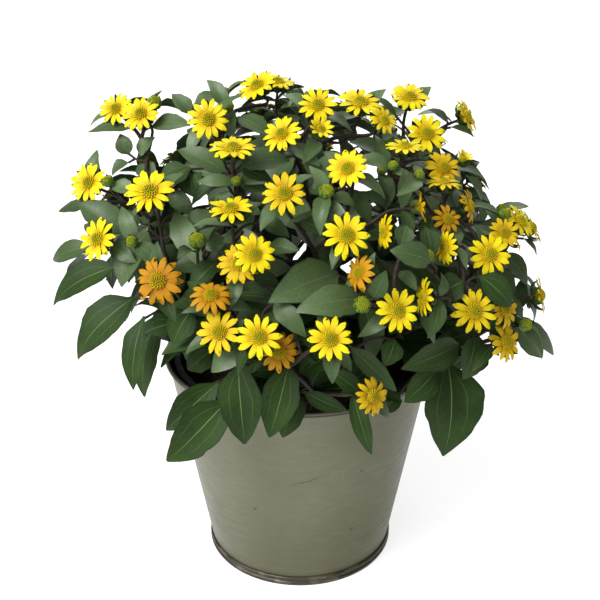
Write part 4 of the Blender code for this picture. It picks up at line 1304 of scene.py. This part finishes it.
class ZinniaSettings(bpy.types.PropertyGroup):
    """Counts and colours that a user would change."""

    # The dark leaf colour is painted shade on low leaves, and the grey one is painted light and sheen on high
    # ones.
    leaf_dark: colour_setting("Dark leaf", "Old leaves low on the plant", (0.0114, 0.028, 0.0042))
    leaf_grey_lit: colour_setting("Grey leaf", "Young leaves high on the plant", (0.093, 0.142, 0.058))
    leaf_fresh: colour_setting("Fresh leaf", "Patches of fresh green", (0.029, 0.062, 0.0095))
    leaf_vein: colour_setting("Vein", "Midrib and side veins", (0.13, 0.2, 0.06))
    ray_yellow: colour_setting("Ray", "Fresh rays", (0.64, 0.575, 0.004))
    ray_gold: colour_setting("Golden ray", "Rays of full heads", (0.61, 0.42, 0.002))
    ray_orange: colour_setting("Old ray", "Rays of old heads and the foot of each ray", (0.38, 0.175, 0.002))
    ray_rust: colour_setting("Old ray base", "Foot of an old ray", (0.25, 0.085, 0.003))
    disc_green: colour_setting("Closed florets", "Middle of the disc", (0.23, 0.24, 0.004))
    disc_gold: colour_setting("Open florets", "Rim of the disc", (0.56, 0.4, 0.004))
    # the real brown of old florets, and painted shade between florets
    disc_brown_and_shade: colour_setting("Shaded florets", "Between and in old florets", (0.26, 0.17, 0.003))
    bud_green: colour_setting("Bud", "Florets of a bud", (0.13, 0.23, 0.018))
    stem_brown: colour_setting("Stem", "Bark of the stems", (0.022, 0.014, 0.009))
    stem_purple: colour_setting("Stem tint", "Purple tint on stems", (0.015, 0.008, 0.007))
    zinc_light: colour_setting("Zinc", "Bright patches of the planter", (0.165, 0.168, 0.118))
    zinc_shade: colour_setting("Shaded zinc", "Dark patches of the planter", (0.122, 0.122, 0.078))
    zinc_dull: colour_setting("Dull zinc", "Brushed lines of the planter", (0.11, 0.108, 0.07))
    # real grime on the seam and the marks, and painted shade below the rim, at its left end and inside the
    # wall
    grime_and_shade: colour_setting("Grime", "Dark grime in creases and on the foot", (0.02, 0.015, 0.009))
    rays: IntProperty(name="Rays", description="Rays of an average flower head", default=13, min=8, max=16)
    florets: IntProperty(name="Florets", description="Florets in each disc", default=56, min=12, max=60)
    crumbs: IntProperty(name="Crumbs", description="Loose crumbs on the potting mix", default=900,
                        min=0, max=4000)
    light: FloatProperty(name="Light", description="Strength of the studio lights", default=1.0, min=0, max=4)


def settings():
    return bpy.context.scene.zinnia


def shared(name, make):
    """A node group or material by name, made the first time it is asked for."""
    found = bpy.data.node_groups.get(name) or bpy.data.materials.get(name)
    return found or make()


PLAN = []


def plan():
    """Paths, heads and buds, worked out once."""
    if not PLAN:
        PLAN.extend(plan_plant())
    return PLAN


# ---- operators ----

class ZINNIA_OT_stage(bpy.types.Operator):
    """Add the floor, the soft studio lights and the camera"""
    bl_idname = "zinnia.stage"
    bl_label = "Stage"

    def execute(self, context):
        scene = context.scene
        corners = [(-3, -3, 0), (3, -3, 0), (3, 3, 0), (-3, 3, 0)]
        floor = empty_mesh("floor", corners, [(0, 1, 2, 3)])
        paint = plain_material("light_table", (0.42, 0.42, 0.42), (0.44, 0.44, 0.44), (0.85, 0.9),
                               scale=4.0, depth=0.1 * MM)
        glow = paint.node_tree.nodes["Principled BSDF"]
        glow.inputs["Emission Color"].default_value = (1.0, 1.0, 1.0, 1.0)
        glow.inputs["Emission Strength"].default_value = TABLE_GLOW
        floor.materials.append(paint)
        link(bpy.data.objects.new("floor", floor))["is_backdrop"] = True
        world = bpy.data.worlds.new("studio")
        world.use_nodes = True
        background = world.node_tree.nodes["Background"]
        background.inputs["Color"].default_value = (1.0, 1.0, 1.0, 1.0)
        background.inputs["Strength"].default_value = WORLD_LIGHT
        scene.world = world
        for name, place, size, power in LAMPS:
            lamp, holder = self.light(name, "AREA", power)
            lamp.size = size
            holder.location = place
            aim = Vector((0, 0, 0.14)) - holder.location
            holder.rotation_euler = aim.to_track_quat("-Z", "Y").to_euler()
        sun, holder = self.light("sky_panel", "SUN", SKY_POWER)
        sun.angle = radians(50)
        holder.rotation_euler = (radians(25), radians(-38), 0)
        camera = bpy.data.cameras.new("camera")
        camera.lens = 60
        camera.sensor_width = 36
        camera.clip_start = 0.01
        holder = link(bpy.data.objects.new("camera", camera))
        holder.location = SIGHT
        holder.rotation_euler = (radians(90 - CAMERA_DIP), 0, 0)
        scene.camera = holder
        scene.view_settings.view_transform = "Standard"
        return {"FINISHED"}

    def light(self, name, kind, power):
        lamp = bpy.data.lights.new(name, kind)
        lamp.energy = power * settings().light
        return lamp, link(bpy.data.objects.new(name, lamp))


class ZINNIA_OT_planter(bpy.types.Operator):
    """Turn the zinc planter's wall and base"""
    bl_idname = "zinnia.planter"
    bl_label = "Planter"

    def execute(self, context):
        (_, _, wall_low), (rim, _, wall_top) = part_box("planter_wall")
        foot_radius, _, seam_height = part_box("planter_base")[1]
        sheet, roll, gap = 0.7 * MM, 1.0 * MM, 0.3 * MM
        rim_middle = wall_top - 2.4 * MM
        grip = foot_radius - sheet - gap
        top_radius = rim - 2 * roll + 0.2 * MM
        crease = seam_height + gap
        slope = (top_radius - grip) / (rim_middle - crease)
        wall_line = (grip - slope * crease - sheet / 2, slope)  # the middle of the sheet's thickness

        def zinc(name, seam=0.0):
            """The zinc finish. A seam above 0 is how far grime covers it."""
            return shared(name, lambda: zinc_material(name, rim_middle, wall_line, seam))

        neck = rim_middle - roll
        # up the outside of the sheet, round the rolled rim and down the inside
        wall = [(grip, wall_low), (grip, crease), (grip + 0.25 * MM, crease + 0.8 * MM),
                (top_radius - 0.2 * MM, neck - 1.2 * MM), (top_radius, neck)]
        wall += arc((rim - roll, rim_middle), roll, -86, 176, 20)
        wall += [(top_radius - sheet, neck), (grip - sheet, crease), (grip - sheet, wall_low)]
        finish_piece(turned("planter_wall_sheet", wall, 192, zinc("zinc_wall")), "zinc", "planter_wall")
        # from the middle along the underside, up the double fold of the seam and back along the top
        inner_grip = grip - sheet - gap
        inside, lift = inner_grip - sheet, 3 * MM
        fold, fold_middle = 1.1 * MM, foot_radius - 1.1 * MM
        base = [(0, lift), (inside - 1 * MM, lift), (inside, lift - 1 * MM), (inside, 0)]
        base += [(foot_radius - 0.5 * MM, 0)]
        base += arc((fold_middle, 1.15 * MM), fold, -60, 62, 7)
        base += [(foot_radius - 0.75 * MM, seam_height / 2)]
        base += arc((fold_middle, seam_height - 1.2 * MM), fold, -62, 80, 8)
        base += [(foot_radius - sheet, seam_height - 0.05 * MM), (foot_radius - sheet, sheet),
                 (inner_grip, sheet), (inner_grip, lift + sheet), (0, lift + sheet)]
        finish_piece(turned("planter_base_pan", base, 192, zinc("zinc_seam", 0.9)), "zinc", "planter_base")
        return {"FINISHED"}


class ZINNIA_OT_nursery_pot(bpy.types.Operator):
    """Add the nursery pot's finish, the rough potting mix and its loose crumbs"""
    bl_idname = "zinnia.nursery_pot"
    bl_label = "Nursery pot"

    def execute(self, context):
        black = plain_material("nursery_black", (0.008, 0.008, 0.009), (0.02, 0.02, 0.021), (0.42, 0.62),
                               scale=120.0, depth=0.2 * MM)
        soil = plain_material("peat", (0.012, 0.008, 0.005), (0.06, 0.04, 0.026), (0.85, 1.0),
                              scale=420.0, depth=1 * MM)
        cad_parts["nursery_pot"].material_slots[0].material = black
        (_, _, low), (radius, _, top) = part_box("potting_mix")
        finish_piece(self.root_ball(soil, radius, low, top), "potting_mix", "potting_mix")
        finish_piece(self.crumbs(soil, radius, top), "potting_mix")
        return {"FINISHED"}

    def root_ball(self, soil, radius, low, top):
        """A closed ball of roots with a slightly domed, uneven top."""
        rng = random.Random(5)
        sides, steps = 72, 14
        bm = bmesh.new()
        rows = []
        for k in range(steps + 1):
            r = radius * k / steps
            row = []
            for x, y, _ in ring(r, 0, sides if k else 1):
                uneven = rng.uniform(-0.6, 0.6) * MM if r < radius * 0.98 else 0
                row.append(bm.verts.new((x, y, top - 2 * MM * (r / radius) ** 2 + uneven)))
            rows.append(row)
        rows.append([bm.verts.new(p) for p in ring(radius * 0.74, low, sides)])
        for k in range(sides):
            bm.faces.new((rows[0][0], rows[1][k], rows[1][(k + 1) % sides]))
        for inner, outer in zip(rows[1:], rows[2:]):
            for k in range(sides):
                bm.faces.new((inner[k], outer[k], outer[(k + 1) % sides], inner[(k + 1) % sides]))
        bm.faces.new(rows[-1][::-1])
        return solid("root_ball", bm, soil, 60)

    def crumbs(self, soil, radius, top):
        """Loose lumps of peat scattered over the soil's surface."""
        tree, source = geometry_tree("crumbs", {
            "Count": ("NodeSocketInt", 900), "Seed": ("NodeSocketInt", 4),
            "Size": ("NodeSocketFloat", 1 * MM), "Material": ("NodeSocketMaterial", None)})
        scatter = radius * 0.93
        density = calc(tree, "DIVIDE", source.outputs["Count"], pi * scatter ** 2)
        points = add(tree, "GeometryNodeDistributePointsOnFaces", {
            "Mesh": source.outputs["Geometry"], "Density": density, "Seed": source.outputs["Seed"]})
        lump = add(tree, "GeometryNodeMeshIcoSphere", {"Radius": source.outputs["Size"], "Subdivisions": 1})
        turn, size = (
            out(add(tree, "FunctionNodeRandomValue", {0: least, 1: most}, data_type="FLOAT_VECTOR"))
            for least, most in (((0.0, 0.0, 0.0), (6.28, 6.28, 6.28)), ((0.4, 0.4, 0.3), (1.6, 1.3, 1.0))))
        placed = add(tree, "GeometryNodeInstanceOnPoints", {
            "Points": out(points, "Points"), "Instance": out(lump, "Mesh"), "Rotation": turn, "Scale": size})
        close_tree(tree, out(placed), source.outputs["Material"])
        count = 48
        rim = ring(scatter, top - 1.2 * MM, count)
        plate = empty_mesh("soil_plate", rim + [(0, 0, top - 0.2 * MM)],
                           [(k, (k + 1) % count, count) for k in range(count)])
        return grown("peat_crumbs", plate, tree, {
            "Count": settings().crumbs, "Seed": 4, "Size": 1 * MM, "Material": soil})


class ZINNIA_OT_stems(bpy.types.Operator):
    """Grow the branches, flower stalks, side shoots and twigs as tapered tubes"""
    bl_idname = "zinnia.stems"
    bl_label = "Stems"

    def execute(self, context):
        paths, _, _ = plan()
        bark = shared("stem_bark", stem_material)
        tree, source = geometry_tree("tapered_tubes", {
            "Sides": ("NodeSocketInt", 8), "Material": ("NodeSocketMaterial", None)})
        profile = add(tree, "GeometryNodeCurvePrimitiveCircle", {
            "Resolution": source.outputs["Sides"], "Radius": 1.0})
        radius = add(tree, "GeometryNodeInputRadius")
        tube = add(tree, "GeometryNodeCurveToMesh", {
            "Curve": source.outputs["Geometry"], "Profile Curve": out(profile, "Curve"),
            "Scale": out(radius), "Fill Caps": True})
        close_tree(tree, out(tube), source.outputs["Material"])
        tubes = [(path, 0.6 * MM, 0.5 * MM) for path in paths["twigs"]]
        for branch in stem_plans(paths):
            tubes.append((branch["main"], STEM_RADIUS, 1.0 * MM))
            tubes += [(path, 0.95 * MM, NECK_RADIUS) for path in branch["stalks"]]
            tubes += [(path, 0.8 * MM, 0.6 * MM) for path in branch["shoots"]]
        curve = bpy.data.curves.new("stem_lines", "CURVE")
        curve.dimensions = "3D"
        for path, thick, thin in tubes:
            spline = curve.splines.new("POLY")
            spline.points.add(len(path) - 1)
            for i, (point, place) in enumerate(zip(spline.points, path)):
                share = i / (len(path) - 1)
                knot = 1.0 + 0.15 * (i % 4 == 2)
                point.co = (*place, 1.0)
                point.radius = (thick + (thin - thick) * share) * knot
        stems = grown("stems", curve, tree, {"Sides": 8, "Material": bark})
        stems.data.shade_smooth()
        finish_piece(stems, "leaf", *[f"branch_{name}" for name in BRANCHES])
        return {"FINISHED"}


class ZINNIA_OT_leaves(bpy.types.Operator):
    """Grow the opposite pairs of leaves"""
    bl_idname = "zinnia.leaves"
    bl_label = "Leaves"

    def execute(self, context):
        leaves = plan_leaves(*plan())
        green = shared("leaf_green", leaf_material)
        tree = blade_tree("leaf_blades", LEAF_OUTLINE)
        front = [leaf for leaf in leaves if leaf["root"].y < -10 * MM]
        back = [leaf for leaf in leaves if leaf["root"].y >= -10 * MM]
        for name, group in (("leaves_front", front), ("leaves_back", back)):
            piece = grow_blades(name, group, (16, 6), tree, green,
                                thickness=0.45 * MM, ripple=0.16, waviness=0.45)
            finish_piece(piece, "leaf")
        return {"FINISHED"}


class ZINNIA_OT_flowers(bpy.types.Operator):
    """Grow the flower heads: rays, disc florets, bracts and buds"""
    bl_idname = "zinnia.flowers"
    bl_label = "Flower heads"

    def execute(self, context):
        _, heads, buds = plan()
        rng = random.Random(23)
        rays, bracts = [], []
        for head in heads:
            rays += self.rays_of(head, rng)
            bracts += self.bracts_of(head, rng)
        for bud in buds:
            bracts += self.bud_bracts(bud, rng)
        yellow = shared("ray_yellow", ray_material)
        tree = blade_tree("ray_blades", RAY_OUTLINE, rounding=0.14, notch=0.07)
        petals = grow_blades("rays", rays, (6, 4), tree, yellow, thickness=0.35 * MM, ripple=0.12)
        finish_piece(petals, "petal", *[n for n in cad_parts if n.startswith("flower_")])
        green = shared("leaf_green", leaf_material)
        tree = blade_tree("bract_blades", BRACT_OUTLINE)
        cups = grow_blades("bracts", bracts, (4, 2), tree, green, thickness=0.5 * MM, ripple=0.1)
        finish_piece(cups, "leaf")
        finish_piece(self.discs(heads, buds), "petal")
        return {"FINISHED"}

    def rays_of(self, head, rng):
        """Flat rays of an open head. Those of a young head stand up, and old ones droop and curl."""
        count = settings().rays + rng.choice((-1, 0, 0, 1, 1))
        if head["diameter"] < SMALL_HEAD:
            count -= 2
        axis, radius, age = head["axis"], head["diameter"] / 2, head["age"]
        start = rng.uniform(0, 2 * pi)
        made = []
        for k in range(count):
            way = spoke(axis, start + 2 * pi * k / count + rng.uniform(-0.07, 0.07))
            lift = rng.uniform(0.0, 0.22) + (1 - head["open"]) * 1.6 - age * rng.uniform(0.0, 0.3)
            along = (way + axis * lift).normalized() * radius * 0.8 * rng.uniform(0.92, 1.04)
            root = head["place"] + way * radius * 0.2 + axis * rng.uniform(-0.15, 0.25) * MM
            made.append(blade(root, along, axis - way * lift, radius * 0.27 * rng.uniform(0.88, 1.12),
                              arch=rng.uniform(0.02, 0.07), fold=rng.uniform(0.1, 0.3),
                              curl=rng.uniform(0.0, 0.12) + age * rng.uniform(0, 0.3),
                              twist=rng.uniform(-0.2, 0.2), tone=rng.random(), seed=rng.random(),
                              age=min(1.0, age + rng.uniform(0, 0.08))))
        return made

    def bracts_of(self, head, rng):
        """Bracts of the green cup under a head."""
        axis, radius, opened = head["axis"], head["diameter"] * 0.26, head["open"]
        rise = 0.75 if opened > 0.5 else 1.5
        count = 8
        made = []
        for k in range(count):
            way = spoke(axis, 2 * pi * (k + rng.uniform(-0.1, 0.1)) / count)
            root = head["place"] - axis * (HEAD_DEPTH * 0.8) + way * radius * 0.2
            along = axis * radius * rise + way * radius * (1.0 + 0.5 * opened)
            made.append(blade(root, along, (axis * 0.6 - way).normalized(), radius * 0.72, arch=-0.22,
                              fold=0.35, curl=-0.06, tone=rng.uniform(0.1, 0.4), seed=rng.random()))
        return made

    def bud_bracts(self, bud, rng):
        """Green bracts that close round the sides of a bud."""
        place, axis, size = bud["place"], bud["axis"], bud["diameter"]
        count = 9
        made = []
        for k in range(count):
            way = spoke(axis, 2 * pi * (k + rng.uniform(-0.1, 0.1)) / count)
            along = axis * size * rng.uniform(0.62, 0.8) + way * size * 0.2
            made.append(blade(place - axis * size * 0.5 + way * size * 0.12, along,
                              (axis * 0.3 - way).normalized(), size * 0.36, arch=-0.26, fold=0.3,
                              tone=rng.uniform(0.2, 0.6), age=rng.uniform(0.4, 1.0), seed=rng.random()))
        return made

    def discs(self, heads, buds):
        """A domed disc on each head: florets in a spiral on a green cushion, by Geometry Nodes."""
        florets = shared("disc_florets", disc_material)
        floret = knob("floret", 0.19, [(0.09, 0.2), (0.125, 0.1), (0.1, -0.08)], 5)
        # painted shade: the level is low at a floret's foot and on the cushion, where the disc gets its
        # shaded colour
        store(floret.data, "level", [0.75] + [1.0] * 5 + [0.85] * 5 + [0.3] * 5)
        cushion = knob("cushion", 0.6, [(0.5, 0.5), (0.9, 0.15), (1.0, -0.1), (0.75, -1.0)], 10)
        for key, value in (("ring", 0.4), ("level", 0.6)):
            store(cushion.data, key, [value] * len(cushion.data.vertices))
        tree, source = geometry_tree("floret_spiral", {
            "Florets": ("NodeSocketInt", 40), "Floret": ("NodeSocketObject", None),
            "Cushion": ("NodeSocketObject", None), "Material": ("NodeSocketMaterial", None)})
        line = add(tree, "GeometryNodeMeshLine", {"Count": source.outputs["Florets"]})
        index = out(add(tree, "GeometryNodeInputIndex"))
        filled = calc(tree, "DIVIDE", plus(tree, index, 0.6), source.outputs["Florets"])
        share = calc(tree, "SQRT", filled)
        angle = times(tree, index, GOLDEN_ANGLE)
        spot = joined(tree, times(tree, calc(tree, "COSINE", angle), share),
                      times(tree, calc(tree, "SINE", angle), share),
                      times(tree, flipped(tree, calc(tree, "POWER", share, 2.2)), 0.62))
        spiral = add(tree, "GeometryNodeSetPosition", {"Geometry": out(line), "Position": spot})
        ringed = add(tree, "GeometryNodeStoreNamedAttribute", {
            "Geometry": out(spiral), "Name": "ring", "Value": share})
        lean = vcalc(tree, "ADD", vcalc(tree, "MULTIPLY", spot, (0.9, 0.9, 0.0)), (0.0, 0.0, 1.0))
        turn = add(tree, "FunctionNodeAlignRotationToVector", {"Vector": lean}, axis="Z")
        one = add(tree, "GeometryNodeObjectInfo", {"Object": source.outputs["Floret"]})
        placed = add(tree, "GeometryNodeInstanceOnPoints", {
            "Points": out(ringed), "Instance": out(one, "Geometry"), "Rotation": out(turn)})
        base = add(tree, "GeometryNodeObjectInfo", {"Object": source.outputs["Cushion"]})
        both = add(tree, "GeometryNodeJoinGeometry")
        tree.links.new(out(placed), both.inputs[0])
        tree.links.new(out(base, "Geometry"), both.inputs[0])
        disc = add(tree, "GeometryNodeRealizeInstances", {"Geometry": out(both)})
        axis = named(tree, "axis", "FLOAT_VECTOR")
        spin = add(tree, "FunctionNodeAlignRotationToVector", {"Vector": axis}, axis="Z")
        discs = add(tree, "GeometryNodeInstanceOnPoints", {
            "Points": source.outputs["Geometry"], "Instance": out(disc), "Rotation": out(spin),
            "Scale": named(tree, "size")})
        close_tree(tree, out(discs), source.outputs["Material"])
        places = [head["place"] + head["axis"] * 0.3 * MM for head in heads] + [bud["place"] for bud in buds]
        mesh = empty_mesh("disc_places", places)
        store(mesh, "axis", [head["axis"] for head in heads + buds])
        store(mesh, "size", [h["diameter"] * 0.16 for h in heads] + [b["diameter"] * 0.33 for b in buds])
        store(mesh, "young", [0.0] * len(heads) + [1.0] * len(buds))
        store(mesh, "age", [head["age"] for head in heads + buds])
        piece = grown("disc_florets", mesh, tree, {
            "Florets": settings().florets, "Floret": floret, "Cushion": cushion, "Material": florets},
            drop=("axis", "size"))
        piece.data.shade_smooth()
        bpy.data.objects.remove(floret)
        bpy.data.objects.remove(cushion)
        return piece


class ZINNIA_PT_panel(bpy.types.Panel):
    """Buttons for the pieces of the potted zinnia"""
    bl_idname = "ZINNIA_PT_panel"
    bl_label = "Potted zinnia"
    bl_space_type = "VIEW_3D"
    bl_region_type = "UI"
    bl_category = "Zinnia"

    def draw(self, context):
        column = self.layout.column()
        for operator in OPERATORS:
            column.operator(operator.bl_idname)
        for key in ZinniaSettings.__annotations__:
            column.prop(context.scene.zinnia, key)


OPERATORS = (ZINNIA_OT_stage, ZINNIA_OT_planter, ZINNIA_OT_nursery_pot, ZINNIA_OT_stems, ZINNIA_OT_leaves,
             ZINNIA_OT_flowers)
CLASSES = (ZinniaSettings, *OPERATORS, ZINNIA_PT_panel)


def register():
    for cls in CLASSES:
        bpy.utils.register_class(cls)
    bpy.types.Scene.zinnia = bpy.props.PointerProperty(type=ZinniaSettings)


def unregister():
    del bpy.types.Scene.zinnia
    for cls in reversed(CLASSES):
        bpy.utils.unregister_class(cls)


def main():
    register()
    bpy.ops.zinnia.stage()
    bpy.ops.zinnia.planter()
    bpy.ops.zinnia.nursery_pot()
    bpy.ops.zinnia.stems()
    bpy.ops.zinnia.leaves()
    bpy.ops.zinnia.flowers()
    boxes = {"cad": CAD_BOX, "visual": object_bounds()}
    {key: [[float(v) for v in corner] for corner in box] for key, box in boxes.items()}


if __name__ == "__main__":
    main()
